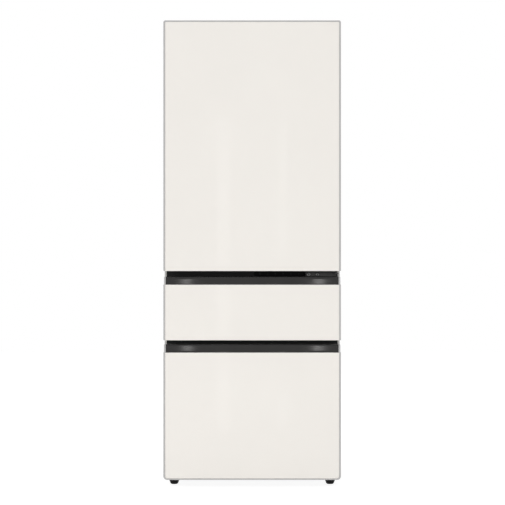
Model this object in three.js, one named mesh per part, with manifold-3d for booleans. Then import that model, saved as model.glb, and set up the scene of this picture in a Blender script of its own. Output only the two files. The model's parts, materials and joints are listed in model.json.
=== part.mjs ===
// A free-standing kimchi refrigerator: one hinged upper door over two pull-out drawers.
// Millimetres, +Z up. The front faces -Y, and the origin is on the floor under the middle of the body.
// Each assembly is a group with its own local frame: y = 0 is its front face and +y runs towards the back.

import * as THREE from "three";
import { mergeVertices } from "three/addons/utils/BufferGeometryUtils.js";
import Module from "manifold-3d";

const wasm = await Module();
wasm.setup();

// ---------------------------------------------------------------- driving sizes

const SEAT = 0.3; // gap between two pieces that rest on each other
const RUN = 0.6; // gap between two pieces that slide or turn on each other
const OVER = 1; // how far a cut runs past the face that it opens
const ROOT = 1; // how far a joined piece reaches into the one that carries it

// The front, from the floor up
const WIDTH = 666;
const FLOOR_GAP = 27;
const LOWER_PANEL_HEIGHT = 479;
const MIDDLE_PANEL_HEIGHT = 211;
const UPPER_PANEL_HEIGHT = 940;
const HANDLE_HEIGHT = 27.5;
const LOWER_GAP = 16; // open slot over the lower drawer's handle
const UPPER_GAP = 22; // open slot over the middle drawer's handle

// Depths, from the front to the back
const FRONT_DEPTH = 70; // a door or drawer front, without its seal
const GASKET_DEPTH = 12;
const CASE_DEPTH = 654;

// Door and drawer fronts
const PANEL_THICKNESS = 5;
const RIM = 5; // visible edge of the frame round a panel
const RIM_SETBACK = 0.4;
const TOP_RADIUS = 8;
const BOTTOM_RADIUS = 14;
const HANDLE_INSET = 2; // the front is this much narrower on each side beside a handle
const HANDLE_CHEEK = 6.5;
const CHEEK_SETBACK = 0.7; // of a cheek's foot behind the strip's face
const SHOULDER_RADIUS = 2;
const HANDLE_LEAN = 11.5; // how far the handle's face leans back
const HANDLE_LIP = 2.5;
const HANDLE_POCKET = 24.5; // finger room behind the lip
const HANDLE_WALL = 2;
const HANDLE_FACE = 1.5; // the strip's face behind the front's face
const HANDLE_FLOOR = 3;
const HANDLE_SKIN = 4; // of the strip behind its face
const HANDLE_BULGE = 0.7; // share of its height at which the curve turns
const GASKET_WIDTH = 16;
const GASKET_RADIUS = 4;
const GASKET_INSET = 20;
const GASKET_TOP_INSET = 10; // below a drawer front's top
const DOOR_SEAL_DROP = 16; // below the case's top
const GASKET_BOTTOM_INSET = 12; // above the bottom of the door and of the middle drawer
const LOWER_GASKET_RISE = 40; // above the bottom of the lower drawer, clear of the feet
const GRIP_RECESS_HEIGHT = 18; // finger recess in the underside of the door
const GRIP_RECESS_DEPTH = 28;
const GRIP_LIP = 12;
const GRIP_LEFT = 30; // of the recess from the door's left side
const GRIP_RIGHT = 60; // clear of the lower hinge pin
const EDGE_RADIUS = 3; // of a front's corner that stands beside another front
const PANEL_RADIUS = 1.5;

// Case
const CASE_INSET = 1;
const CASE_DROP = 25; // the case's top lies this far under the door's top
const CASE_BOTTOM = 38;
const SHEET = 1.2;
const FLANGE = 44;
const RAIL_RETURN = 24; // folded depth of a cross rail
const RAIL_MARGIN = 8; // of the case's front edge left beside a cross rail
const LINER_WALL = 2;
const LINER_RADIUS = 8;
const SILL = 32; // a compartment's floor above the bottom of its front
const LINTEL = 30; // a drawer compartment's ceiling below the top of its front
const LOWER_FLOOR_RISE = 50; // the lower compartment's floor above the case's bottom
const BACK_INSULATION = 58;
const MACHINE_DEPTH = 215;
const MACHINE_HEIGHT = 250;
const MACHINE_INSULATION = 42;
const BASE_SHEET = 1.5;

// Upper compartment
const SHELF_COUNT = 2;
const SHELF_THICKNESS = 5;
const SHELF_FRONT = 108; // behind the case's front, clear of the door bins
const SHELF_TRIM_HEIGHT = 14;
const SHELF_TRIM_DEPTH = 14;
const SHELF_SIDE_GAP = 2;
const SHELF_BACK_GAP = 6;
const SHELF_TRIM_RISE = 1; // of the trim above the glass
const SHELF_TRIM_GRIP = 6; // of the trim over the glass's edge
const SHELF_TRIM_RADIUS = 2;
const LEDGE_WIDTH = 8;
const LEDGE_HEIGHT = 8;
const DUCT_DEPTH = 44;
const DUCT_WALL = 2.5;
const DUCT_MARGIN = 16;
const OUTLET_X = 130; // middle of each column of outlets
const OUTLET_REACH = 60;
const OUTLET_HEIGHT = 10;
const OUTLET_PITCH = 20;
const RETURN_COUNT = 5;
const RETURN_PITCH = 44;
const RETURN_REACH = 15;
const RETURN_RISE = 20;
const FAN_RADIUS = 52;
const FAN_HEIGHT = 360; // above the compartment's floor
const COLD_FAN_DEPTH = 20;
const FAN_SHAFT_RADIUS = 3;
const FAN_BORE_DEPTH = 9;
const FAN_BOSS_RADIUS = 16;
const FAN_BOSS_LENGTH = 10;
const LAMP_WIDTH = 260;
const LAMP_DEPTH = 34;
const LAMP_THICKNESS = 8;
const LAMP_RADIUS = 3;

// Door lining and bins
const DOOR_LINING = 2;
const LINING_SINK = 0.5; // of the lining's sheet below the plane where the seal and bins stand off
const DYKE_CLEARANCE = 12;
const DYKE_WIDTH = 20;
const DYKE_DEPTH = 32;
const DYKE_RADIUS = 12;
const LINING_EDGE = 3; // from the front's sides and bottom
const LINING_TOP_GAP = 2; // under the hinge's notch
const BIN_COUNT = 2;
const BIN_DEPTH = 96;
const BIN_HEIGHT = 112;
const BIN_WALL = 2.5;
const BIN_FIRST = 60; // first bin's floor above the inside of the dyke
const BIN_PITCH = 330;
const PEG_HEIGHT = 14;
const PEG_DEPTH = 12;
const PEG_REACH = 7;
const PEG_STANDOFF = 10; // behind the door's back
const PEG_GAP = 1.5; // between a peg's tip and the bin's side
const EAR_MARGIN = 2; // of an ear past its peg, front and back
const EAR_HEIGHT = 14;

// Hinges
const HINGE_FROM_SIDE = 16;
const HINGE_FROM_BACK = 26;
const HINGE_PIN_RADIUS = 5;
const HINGE_BORE_RADIUS = 5.6;
const HINGE_PLATE = 4;
const HINGE_ARM_RADIUS = 10;
const HINGE_PIN_LENGTH = 26; // inside the door
const HINGE_BORE_END = 2; // of a bore past its pin's end
const NOTCH_FLOOR_GAP = 3;
const NOTCH_FRONT_GAP = 16; // from the arm's round end to the notch's front
const NOTCH_SIDE_GAP = 2.5;
const TOP_PLATE_WIDTH = 104;
const TOP_PLATE_DEPTH = 84;
const TOP_PLATE_SETBACK = 6; // behind the case's front
const TOP_PLATE_RADIUS = 4;
const COVER_HEIGHT = 22;
const COVER_SETBACK = 1;
const COVER_RADIUS = 8;
const COVER_WALL = 2;
const PLATE_GAP = 1; // from the hinge's plate to the cover's wall
const COVER_INSET = 1; // from the case's right side
const COVER_MARGIN = 4; // round the hinge's plate
const MIDDLE_BRACKET_WIDTH = 115;
const MIDDLE_BRACKET_HEIGHT = 14;
const MIDDLE_FLANGE_HEIGHT = 29;
const MIDDLE_FLANGE_THICKNESS = 3;
const MIDDLE_BRACKET_RISE = 1.2; // above the middle drawer's handle
const MIDDLE_BRACKET_REACH = 22; // in front of the case
const MIDDLE_BRACKET_SIDE = 15; // its outer end from the side of the front

// Control strip
const DISPLAY_GAP = 5; // to the hinge bracket
const DISPLAY_LENGTH = 190;
const DISPLAY_HEIGHT = 17;
const DISPLAY_THICKNESS = 5;
const DISPLAY_RISE = 2.5; // above the middle drawer's handle

// Telescopic slides, the same for both drawers
const SLIDE_BACK_GAP = 96; // from a slide's end to the lining's back
const SLIDE_HEIGHT = 36;
const SLIDE_DEPTH = 12;
const SLIDE_WALL = 1.5;
const SLIDE_LIP = 4;
const SLIDE_FRONT = 16; // behind the case's front
const SLIDE_STOP_FRONT = 4; // from a channel's front end to that of the one inside it
const SLIDE_STOP_BACK = 6;

// Drawers
const BASKET_WALL = 3;
const BASKET_SIDE_GAP = 5; // from the slide's inner face
const BASKET_FLOOR_GAP = 6;
const MIDDLE_BASKET_BACK_GAP = 105; // to the lining's back
const MIDDLE_BASKET_HEIGHT = 118;
const MIDDLE_SLIDE_HEIGHT = 96; // slide's middle above the compartment's floor
const LOWER_BASKET_BACK_GAP = 23; // to the lining's step
const LOWER_BASKET_HEIGHT = 300;
const LOWER_SLIDE_HEIGHT = 278;
const BOX_RADIUS = 18;
const BOX_WALL = 3;
const BOX_GAP = 3; // round each container
const BOX_RIM = 4;
const MIDDLE_BOX_HEIGHT = 130;
const LOWER_BOX_HEIGHT = 330;
const LID_HEIGHT = 16;
const LID_THICKNESS = 3;
const LID_SKIRT = 2;
const BOX_RIM_HEIGHT = 6;

// Feet and rollers
const FOOT_FROM_SIDE = 36;
const FOOT_Y = 22; // behind the case's front
const FOOT_RADIUS = 18;
const FOOT_TOE_RADIUS = 11;
const FOOT_TOE_FLARE = 3;
const FOOT_SHOULDER = 12; // height at which the cup is widest
const FOOT_CUP = 16;
const FOOT_STEP = 2;
const FOOT_FLANGE = 3;
const FOOT_STUD_RADIUS = 4;
const FOOT_STUD_LENGTH = 20;
const STUD_ROOM = 3; // left round the stud in the foam
const FOOT_HEX = 12; // radius over the corners
const ROLLER_FROM_SIDE = 40;
const ROLLER_FROM_BACK = 34;
const ROLLER_RADIUS = 18;
const ROLLER_WIDTH = 16;
const ROLLER_AXLE_RADIUS = 4;
const ROLLER_EAR = 3;
const ROLLER_EAR_WIDTH = 22;
const ROLLER_EAR_DROP = 8; // under the axle's middle
const ROLLER_EAR_RADIUS = 6;
const ROLLER_AXLE_END = 2; // past the ears
const ROLLER_CHAMFER = 2;

// Machine compartment
const COMPRESSOR_FROM_SIDE = 147;
const COMPRESSOR_RADIUS = 74;
const COMPRESSOR_HEIGHT = 165;
const COMPRESSOR_PLATE = 3;
const COMPRESSOR_PLATE_WIDTH = 210;
const COMPRESSOR_PLATE_DEPTH = 130;
const COMPRESSOR_PLATE_RADIUS = 14;
const STUB_RADIUS = 5;
const STUB_LENGTH = 18;
const TERMINAL_REACH = 22;
const TERMINAL_WIDTH = 52;
const MOUNT_RADIUS = 12;
const MOUNT_HEIGHT = 16;
const MOUNT_INSET = 18;
const SHROUD_X = 10;
const SHROUD_WIDTH = 180;
const SHROUD_HEIGHT = 206;
const SHROUD_THICKNESS = 4;
const SHROUD_RADIUS = 10;
const BLOWER_TIP_GAP = 4; // round the fan
const BLOWER_RING_WALL = 3;
const BLOWER_RADIUS = 70;
const BLOWER_DEPTH = 24;
const BLOWER_SETBACK = 6; // of the fan's front inside its ring
const MOTOR_RADIUS = 26;
const MOTOR_LENGTH = 34;
const MOTOR_ARM_WIDTH = 12;
const MOTOR_ARM_DEPTH = 7;
const BLOWER_HUB_RADIUS = 20;
const FAN_BLADES = 5;
const BLADE_THICKNESS = 2;
const BLADE_CHORD = 0.55; // share of the fan's radius
const BLADE_PITCH = Math.PI / 5;
const CONDENSER_GAP = 12; // behind the fan's motor
const CONDENSER_MARGIN = 56; // from its end to the case's side
const CONDENSER_WIDTH = 150;
const CONDENSER_HEIGHT = 180;
const CONDENSER_FINS = 8;
const EVAPORATOR_LENGTH = 420;
const EVAPORATOR_DEPTH = 30;
const EVAPORATOR_HEIGHT = 190;
const EVAPORATOR_FINS = 8;
const EVAPORATOR_RISE = 26;
const TUBE_RADIUS = 4;
const FIN_THICKNESS = 1.5;
const LOUVRE_COUNT = 9;
const LOUVRE_HEIGHT = 7;
const LOUVRE_PITCH = 20;
const LOUVRE_RISE = 34; // the first louvre above the cover's bottom
const LOUVRE_REACH = 90; // to each side of the compressor's middle
const GLAND_X = -30;
const GLAND_RISE = 60;
const GLAND_RADIUS = 11;
const GLAND_LENGTH = 9;
const GLAND_BORE = 4;

// ---------------------------------------------------------------- levels and planes from the sizes

const half = WIDTH / 2;
const depth = FRONT_DEPTH + GASKET_DEPTH + 2 * SEAT + CASE_DEPTH;
const frontY = -depth / 2;
const caseY = frontY + FRONT_DEPTH + GASKET_DEPTH + 2 * SEAT;
const caseHalf = half - CASE_INSET;

const lowerBottom = FLOOR_GAP;
const lowerTop = lowerBottom + LOWER_PANEL_HEIGHT + HANDLE_HEIGHT;
const middleBottom = lowerTop + LOWER_GAP;
const middleTop = middleBottom + MIDDLE_PANEL_HEIGHT + HANDLE_HEIGHT;
const upperBottom = middleTop + UPPER_GAP;
const upperTop = upperBottom + UPPER_PANEL_HEIGHT;
const caseTop = upperTop - CASE_DROP;

const linerHalf = caseHalf - FLANGE - SEAT - LINER_WALL; // inside face
// The linings' back, inside face, from the case's front
const linerBack = CASE_DEPTH - SHEET - SEAT - BACK_INSULATION - LINER_WALL;
const upperRoom = { floor: upperBottom + SILL, ceiling: caseTop - FLANGE - SEAT - LINER_WALL };
const middleRoom = { floor: middleBottom + SILL, ceiling: middleTop - LINTEL };
const lowerRoom = { floor: CASE_BOTTOM + LOWER_FLOOR_RISE, ceiling: lowerTop - LINTEL };
const machineFront = CASE_DEPTH - MACHINE_DEPTH;
const machineTop = CASE_BOTTOM + MACHINE_HEIGHT;
const stepFront = machineFront - MACHINE_INSULATION - LINER_WALL; // inside face of the lower lining's step
const stepTop = machineTop + MACHINE_INSULATION + LINER_WALL;
const hingeX = half - HINGE_FROM_SIDE;
const hingeY = FRONT_DEPTH - HINGE_FROM_BACK; // from the front face
const bracketRight = half - MIDDLE_BRACKET_SIDE;
const caseFromFront = caseY - frontY;
const footX = caseHalf - FOOT_FROM_SIDE;
const rollerX = caseHalf - ROLLER_FROM_SIDE;
const slideOuter = linerHalf - SEAT;
const slideLength = linerBack - SLIDE_BACK_GAP - SLIDE_FRONT;
const basketFront = FRONT_DEPTH + SEAT; // from the front face
const middleBasketDepth = caseFromFront + linerBack - MIDDLE_BASKET_BACK_GAP - basketFront;
const lowerBasketDepth = caseFromFront + stepFront - LOWER_BASKET_BACK_GAP - basketFront;
const basketHalf = slideOuter - SLIDE_DEPTH - BASKET_SIDE_GAP;
const railHalf = caseHalf - RAIL_MARGIN;
const railBetween = (low, high) => ({
  bottom: low.ceiling + LINER_WALL + SEAT,
  top: high.floor - LINER_WALL - SEAT,
});
const upperRail = railBetween(middleRoom, upperRoom);
const lowerRail = railBetween(lowerRoom, middleRoom);
const shelfPitch = (upperRoom.ceiling - upperRoom.floor) / (SHELF_COUNT + 1);

// ---------------------------------------------------------------- finishes

const finishes = {
  panel: { color: 0xf0ece6, roughness: 0.18, metalness: 0 },
  frame: { color: 0xc3c3c1, roughness: 0.4, metalness: 0.6 },
  handle: { color: 0x3b3b3b, roughness: 0.35, metalness: 0.8 },
  case: { color: 0xd6d5d1, roughness: 0.45, metalness: 0.3 },
  steel: { color: 0x9a9b9c, roughness: 0.5, metalness: 0.9 },
  dark: { color: 0x2b2b2c, roughness: 0.55, metalness: 0.2 },
  black: { color: 0x111112, roughness: 0.6, metalness: 0 },
  display: { color: 0x08080a, roughness: 0.08, metalness: 0 },
  lining: { color: 0xf1f2f2, roughness: 0.35, metalness: 0 },
  gasket: { color: 0xb9babb, roughness: 0.7, metalness: 0 },
  clear: { color: 0xdfe8ea, roughness: 0.1, metalness: 0 },
  lamp: { color: 0xf8f8f4, roughness: 0.3, metalness: 0 },
  foam: { color: 0xe6d9a8, roughness: 0.9, metalness: 0 },
  container: { color: 0xe2e4e2, roughness: 0.3, metalness: 0 },
  lid: { color: 0x8d9499, roughness: 0.4, metalness: 0 },
  basket: { color: 0xdfe1e2, roughness: 0.4, metalness: 0 },
  aluminium: { color: 0xb8bbbd, roughness: 0.4, metalness: 0.9 },
};

// ---------------------------------------------------------------- shape helpers; each returns a solid

// The lower and the higher of two places, for a piece that is mirrored from side to side.
const span = (a, b) => [Math.min(a, b), Math.max(a, b)];

function solidOf(geometry) {
  const bare = geometry.clone();
  for (const name of Object.keys(bare.attributes)) {
    if (name !== "position") bare.deleteAttribute(name);
  }
  const merged = mergeVertices(bare, 1e-4);
  const vertProperties = merged.attributes.position.array;
  const triVerts = new Uint32Array(merged.index.array);
  return new wasm.Manifold(new wasm.Mesh({ numProp: 3, vertProperties, triVerts }));
}

function block(x0, x1, y0, y1, z0, z1) {
  const geometry = new THREE.BoxGeometry(x1 - x0, y1 - y0, z1 - z0);
  geometry.translate((x0 + x1) / 2, (y0 + y1) / 2, (z0 + z1) / 2);
  return solidOf(geometry);
}

const sideways = new THREE.Matrix4().makeBasis(
  new THREE.Vector3(0, 1, 0),
  new THREE.Vector3(0, 0, 1),
  new THREE.Vector3(1, 0, 0),
);

// An outline drawn in X and Z, carried along Y.
function prismY(outline, y0, y1, curveSegments = 2) {
  const geometry = new THREE.ExtrudeGeometry(outline, { depth: y1 - y0, bevelEnabled: false, curveSegments });
  geometry.rotateX(Math.PI / 2);
  geometry.translate(0, y1, 0);
  return solidOf(geometry);
}

// An outline drawn in Y and Z, carried along X.
function prismX(outline, x0, x1, curveSegments = 2) {
  const geometry = new THREE.ExtrudeGeometry(outline, { depth: x1 - x0, bevelEnabled: false, curveSegments });
  geometry.applyMatrix4(sideways);
  geometry.translate(x0, 0, 0);
  return solidOf(geometry);
}

// An outline drawn in X and Y, carried along Z.
function prismZ(outline, z0, z1, curveSegments = 2) {
  const geometry = new THREE.ExtrudeGeometry(outline, { depth: z1 - z0, bevelEnabled: false, curveSegments });
  geometry.translate(0, 0, z0);
  return solidOf(geometry);
}

function polygon(points) {
  return new THREE.Shape(points.map(([u, v]) => new THREE.Vector2(u, v)));
}

function rectangle(u0, u1, v0, v1) {
  return polygon([[u0, v0], [u1, v0], [u1, v1], [u0, v1]]);
}

// A rectangle with round corners: one radius for its lower corners and one for its upper corners.
function roundedRectangle(u0, u1, v0, v1, lowRadius, highRadius = lowRadius) {
  const shape = new THREE.Shape();
  const turn = Math.PI / 2;
  shape.moveTo(u0 + lowRadius, v0);
  shape.lineTo(u1 - lowRadius, v0);
  if (lowRadius > 0) shape.absarc(u1 - lowRadius, v0 + lowRadius, lowRadius, -turn, 0);
  shape.lineTo(u1, v1 - highRadius);
  if (highRadius > 0) shape.absarc(u1 - highRadius, v1 - highRadius, highRadius, 0, turn);
  shape.lineTo(u0 + highRadius, v1);
  if (highRadius > 0) shape.absarc(u0 + highRadius, v1 - highRadius, highRadius, turn, 2 * turn);
  shape.lineTo(u0, v0 + lowRadius);
  if (lowRadius > 0) shape.absarc(u0 + lowRadius, v0 + lowRadius, lowRadius, 2 * turn, 3 * turn);
  return shape;
}

// A round bar along X, Y or Z between two places on that axis, its middle at the other two coordinates.
function bar(axis, radius, from, to, middle, sides = 16) {
  const geometry = new THREE.CylinderGeometry(radius, radius, to - from, sides);
  const centre = (from + to) / 2;
  if (axis === "x") {
    geometry.rotateZ(Math.PI / 2);
    geometry.translate(centre, middle[0], middle[1]);
  } else if (axis === "y") {
    geometry.translate(middle[0], centre, middle[1]);
  } else {
    geometry.rotateX(Math.PI / 2);
    geometry.translate(middle[0], middle[1], centre);
  }
  return solidOf(geometry);
}

// A profile of [radius, height] pairs turned about Z. It starts and ends on the axis, going up the outside.
function turned(profile, sides = 16) {
  const geometry = new THREE.LatheGeometry(profile.map(([r, h]) => new THREE.Vector2(r, h)), sides);
  geometry.rotateX(Math.PI / 2);
  return solidOf(geometry);
}

function join(first, ...others) {
  return others.reduce((sum, next) => sum.add(next), first);
}

function cut(first, ...others) {
  return others.reduce((rest, next) => rest.subtract(next), first);
}

function piece(name, finish, solid) {
  const { vertProperties, triVerts } = solid.getMesh();
  const geometry = new THREE.BufferGeometry();
  geometry.setAttribute("position", new THREE.BufferAttribute(new Float32Array(vertProperties), 3));
  geometry.setIndex(new THREE.BufferAttribute(new Uint32Array(triVerts), 1));
  geometry.computeVertexNormals();
  const mesh = new THREE.Mesh(geometry, new THREE.MeshStandardMaterial(finishes[finish]));
  mesh.name = name;
  return mesh;
}

function assembly(x, y, z, ...pieces) {
  const group = new THREE.Group();
  group.position.set(x, y, z);
  group.add(...pieces);
  return group;
}

// ---------------------------------------------------------------- case; y = 0 is the case's front

function outerCase() {
  const side = caseHalf - SHEET;
  const wrap = polygon([
    [-caseHalf, CASE_BOTTOM], [-side, CASE_BOTTOM], [-side, caseTop - SHEET], [side, caseTop - SHEET],
    [side, CASE_BOTTOM], [caseHalf, CASE_BOTTOM], [caseHalf, caseTop], [-caseHalf, caseTop],
  ]);
  const inner = caseHalf - FLANGE;
  const flange = polygon([
    [-caseHalf, CASE_BOTTOM], [-inner, CASE_BOTTOM], [-inner, caseTop - FLANGE], [inner, caseTop - FLANGE],
    [inner, CASE_BOTTOM], [caseHalf, CASE_BOTTOM], [caseHalf, caseTop], [-caseHalf, caseTop],
  ]);
  const notches = [upperRail, lowerRail].map((rail) => block(
    -railHalf - SEAT, railHalf + SEAT, -OVER, SHEET + OVER, rail.bottom - SEAT, rail.top + SEAT,
  ));
  const shell = join(prismY(wrap, 0, CASE_DEPTH), cut(prismY(flange, 0, SHEET), ...notches));
  return piece("outer_case", "case", shell);
}

function backPanel() {
  const side = caseHalf - SHEET - SEAT;
  const back = CASE_DEPTH - SHEET;
  const sheet = block(-side, side, back, CASE_DEPTH, machineTop + BASE_SHEET + SEAT, caseTop - SHEET - SEAT);
  return piece("back_panel", "steel", sheet);
}

// Two ears that carry a roller's axle, under the base.
function rollerEars(x) {
  const y = CASE_DEPTH - ROLLER_FROM_BACK;
  const gap = ROLLER_WIDTH / 2 + RUN;
  const outline = roundedRectangle(
    y - ROLLER_EAR_WIDTH / 2, y + ROLLER_EAR_WIDTH / 2,
    ROLLER_RADIUS - ROLLER_EAR_DROP, CASE_BOTTOM + ROOT, ROLLER_EAR_RADIUS, 0,
  );
  const ears = [x - gap - ROLLER_EAR, x + gap].map((left) => prismX(outline, left, left + ROLLER_EAR));
  const reach = gap + ROLLER_EAR + OVER;
  const hole = bar("x", ROLLER_AXLE_RADIUS + RUN, x - reach, x + reach, [y, ROLLER_RADIUS]);
  return ears.map((ear) => cut(ear, hole));
}

function basePan() {
  const side = caseHalf - SHEET - SEAT;
  const flangeTop = lowerRoom.floor - LINER_WALL - SEAT;
  const back = CASE_DEPTH - SHEET - SEAT;
  const upright = machineFront;
  const profile = polygon([
    [0, CASE_BOTTOM], [CASE_DEPTH, CASE_BOTTOM], [CASE_DEPTH, CASE_BOTTOM + BASE_SHEET],
    [upright + BASE_SHEET, CASE_BOTTOM + BASE_SHEET], [upright + BASE_SHEET, machineTop],
    [back, machineTop], [back, machineTop + BASE_SHEET], [upright, machineTop + BASE_SHEET],
    [upright, CASE_BOTTOM + BASE_SHEET], [SHEET, CASE_BOTTOM + BASE_SHEET],
    [SHEET, flangeTop], [0, flangeTop],
  ]);
  const pan = prismX(profile, -side, side);
  // The case's own flange covers the outer ends of the front flange.
  const cover = caseHalf - FLANGE - SEAT;
  const clear = [-1, 1].map((s) => block(
    ...span(s * (side + OVER), s * (cover - SEAT)), -OVER, SHEET + SEAT, CASE_BOTTOM - OVER, flangeTop + OVER,
  ));
  const studs = [-1, 1].map((s) => bar(
    "z", FOOT_STUD_RADIUS + RUN, CASE_BOTTOM - OVER, CASE_BOTTOM + BASE_SHEET + OVER, [s * footX, FOOT_Y],
  ));
  const ears = [-1, 1].flatMap((s) => rollerEars(s * rollerX));
  return piece("base_pan", "steel", join(cut(pan, ...clear, ...studs), ...ears));
}

// The lower compartment's side view: it steps up over the machine compartment.
function steppedOutline(front, grow) {
  const floor = lowerRoom.floor - grow;
  const ceiling = lowerRoom.ceiling + grow;
  return polygon([
    [front, floor], [stepFront + grow, floor], [stepFront + grow, stepTop - grow],
    [linerBack + grow, stepTop - grow], [linerBack + grow, ceiling], [front, ceiling],
  ]);
}

function insulationFoam() {
  const side = caseHalf - SHEET - SEAT;
  const outer = block(
    -side, side, SHEET + SEAT, CASE_DEPTH - SHEET - SEAT,
    CASE_BOTTOM + BASE_SHEET + SEAT, caseTop - SHEET - SEAT,
  );
  const skin = LINER_WALL + SEAT;
  const roomHalf = linerHalf + skin;
  const roomSpace = (room) => block(
    -roomHalf, roomHalf, 0, linerBack + skin, room.floor - skin, room.ceiling + skin,
  );
  const lowerSpace = prismX(steppedOutline(0, skin), -roomHalf, roomHalf);
  const machineSpace = block(
    -caseHalf, caseHalf, machineFront - SEAT, CASE_DEPTH + OVER,
    CASE_BOTTOM, machineTop + BASE_SHEET + SEAT,
  );
  const railSpace = (rail) => block(
    -railHalf - SEAT, railHalf + SEAT, 0, RAIL_RETURN + SEAT, rail.bottom - SEAT, rail.top + SEAT,
  );
  const studSpace = (s) => bar(
    "z", FOOT_STUD_RADIUS + STUD_ROOM, CASE_BOTTOM, CASE_BOTTOM + FOOT_STUD_LENGTH + STUD_ROOM,
    [s * footX, FOOT_Y],
  );
  return piece("insulation_foam", "foam", cut(
    outer, roomSpace(upperRoom), roomSpace(middleRoom), lowerSpace, machineSpace,
    railSpace(upperRail), railSpace(lowerRail), studSpace(-1), studSpace(1),
  ));
}

function liningBox(room) {
  const outer = block(
    -linerHalf - LINER_WALL, linerHalf + LINER_WALL, 0, linerBack + LINER_WALL,
    room.floor - LINER_WALL, room.ceiling + LINER_WALL,
  );
  const inner = roundedRectangle(-linerHalf, linerHalf, room.floor, room.ceiling, LINER_RADIUS);
  return cut(outer, prismY(inner, -OVER, linerBack));
}

function shelfHeight(index) {
  return upperRoom.floor + shelfPitch * (index + 1);
}

function upperLining() {
  const ledges = [];
  const ledgeBack = linerBack - DUCT_DEPTH - SHELF_TRIM_DEPTH;
  for (let i = 0; i < SHELF_COUNT; i++) {
    const top = shelfHeight(i) - SEAT;
    for (const s of [-1, 1]) {
      const [x0, x1] = span(s * (linerHalf + ROOT), s * (linerHalf - LEDGE_WIDTH));
      ledges.push(block(x0, x1, SHELF_FRONT, ledgeBack, top - LEDGE_HEIGHT, top));
    }
  }
  // The fan's motor boss and shaft stand on the back wall.
  const middle = [0, upperRoom.floor + FAN_HEIGHT];
  const bossFace = linerBack - FAN_BOSS_LENGTH;
  const boss = bar("y", FAN_BOSS_RADIUS, bossFace, linerBack + ROOT, middle);
  const shaft = bar("y", FAN_SHAFT_RADIUS, bossFace - FAN_BORE_DEPTH, linerBack, middle);
  return piece("upper_lining", "lining", join(liningBox(upperRoom), ...ledges, boss, shaft));
}

function middleLining() {
  return piece("middle_lining", "lining", liningBox(middleRoom));
}

function lowerLining() {
  const outer = prismX(steppedOutline(0, LINER_WALL), -linerHalf - LINER_WALL, linerHalf + LINER_WALL);
  const inner = prismX(steppedOutline(-OVER, 0), -linerHalf, linerHalf);
  return piece("lower_lining", "lining", cut(outer, inner));
}

function crossRail(name, { bottom, top }) {
  const profile = polygon([
    [0, bottom], [RAIL_RETURN, bottom], [RAIL_RETURN, bottom + SHEET], [SHEET, bottom + SHEET],
    [SHEET, top - SHEET], [RAIL_RETURN, top - SHEET], [RAIL_RETURN, top], [0, top],
  ]);
  return piece(name, "dark", prismX(profile, -railHalf, railHalf));
}

function controlDisplay() {
  const bottom = middleTop + DISPLAY_RISE;
  const right = bracketRight - MIDDLE_BRACKET_WIDTH - DISPLAY_GAP;
  const outline = roundedRectangle(right - DISPLAY_LENGTH, right, bottom, bottom + DISPLAY_HEIGHT, 2);
  return piece("control_display", "display", prismY(outline, -SEAT - DISPLAY_THICKNESS, -SEAT));
}

// ---------------------------------------------------------------- upper compartment, in the case's frame

function shelf(index) {
  const bottom = shelfHeight(index);
  const reach = linerHalf - SHELF_SIDE_GAP;
  const back = linerBack - DUCT_DEPTH - SHELF_BACK_GAP;
  const plate = block(-reach, reach, SHELF_FRONT, back, bottom, bottom + SHELF_THICKNESS);
  const trimTop = bottom + SHELF_THICKNESS + SHELF_TRIM_RISE;
  const trim = roundedRectangle(
    SHELF_FRONT - SHELF_TRIM_DEPTH, SHELF_FRONT, trimTop - SHELF_TRIM_HEIGHT, trimTop, SHELF_TRIM_RADIUS,
  );
  const grip = block(-reach, reach, SHELF_FRONT - ROOT, SHELF_FRONT + SHELF_TRIM_GRIP, bottom, trimTop);
  return piece(`glass_shelf_${index + 1}`, "clear", join(plate, grip, prismX(trim, -reach, reach)));
}

function ductCover() {
  const side = linerHalf - DUCT_MARGIN;
  const front = linerBack - DUCT_DEPTH;
  const bottom = upperRoom.floor + DUCT_MARGIN;
  const top = upperRoom.ceiling - DUCT_MARGIN;
  const outer = block(-side, side, front, linerBack - SEAT, bottom, top);
  const inside = side - DUCT_WALL;
  const inner = block(-inside, inside, front + DUCT_WALL, linerBack, bottom + DUCT_WALL, top - DUCT_WALL);
  const through = (outline) => prismY(outline, front - OVER, front + DUCT_WALL + OVER);
  const outlets = [];
  for (let i = 0; i <= SHELF_COUNT; i++) {
    for (const x of [-OUTLET_X, OUTLET_X]) {
      for (const row of [0, 1]) {
        const z = shelfHeight(i) - shelfPitch / 4 - row * OUTLET_PITCH;
        outlets.push(through(rectangle(x - OUTLET_REACH, x + OUTLET_REACH, z, z + OUTLET_HEIGHT)));
      }
    }
  }
  const returns = Array.from({ length: RETURN_COUNT }, (_, i) => {
    const x = (i - (RETURN_COUNT - 1) / 2) * RETURN_PITCH;
    const z = bottom + RETURN_RISE;
    return through(rectangle(x - RETURN_REACH, x + RETURN_REACH, z, z + OUTLET_HEIGHT));
  });
  return piece("duct_cover", "aluminium", cut(outer, inner, ...outlets, ...returns));
}

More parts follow.
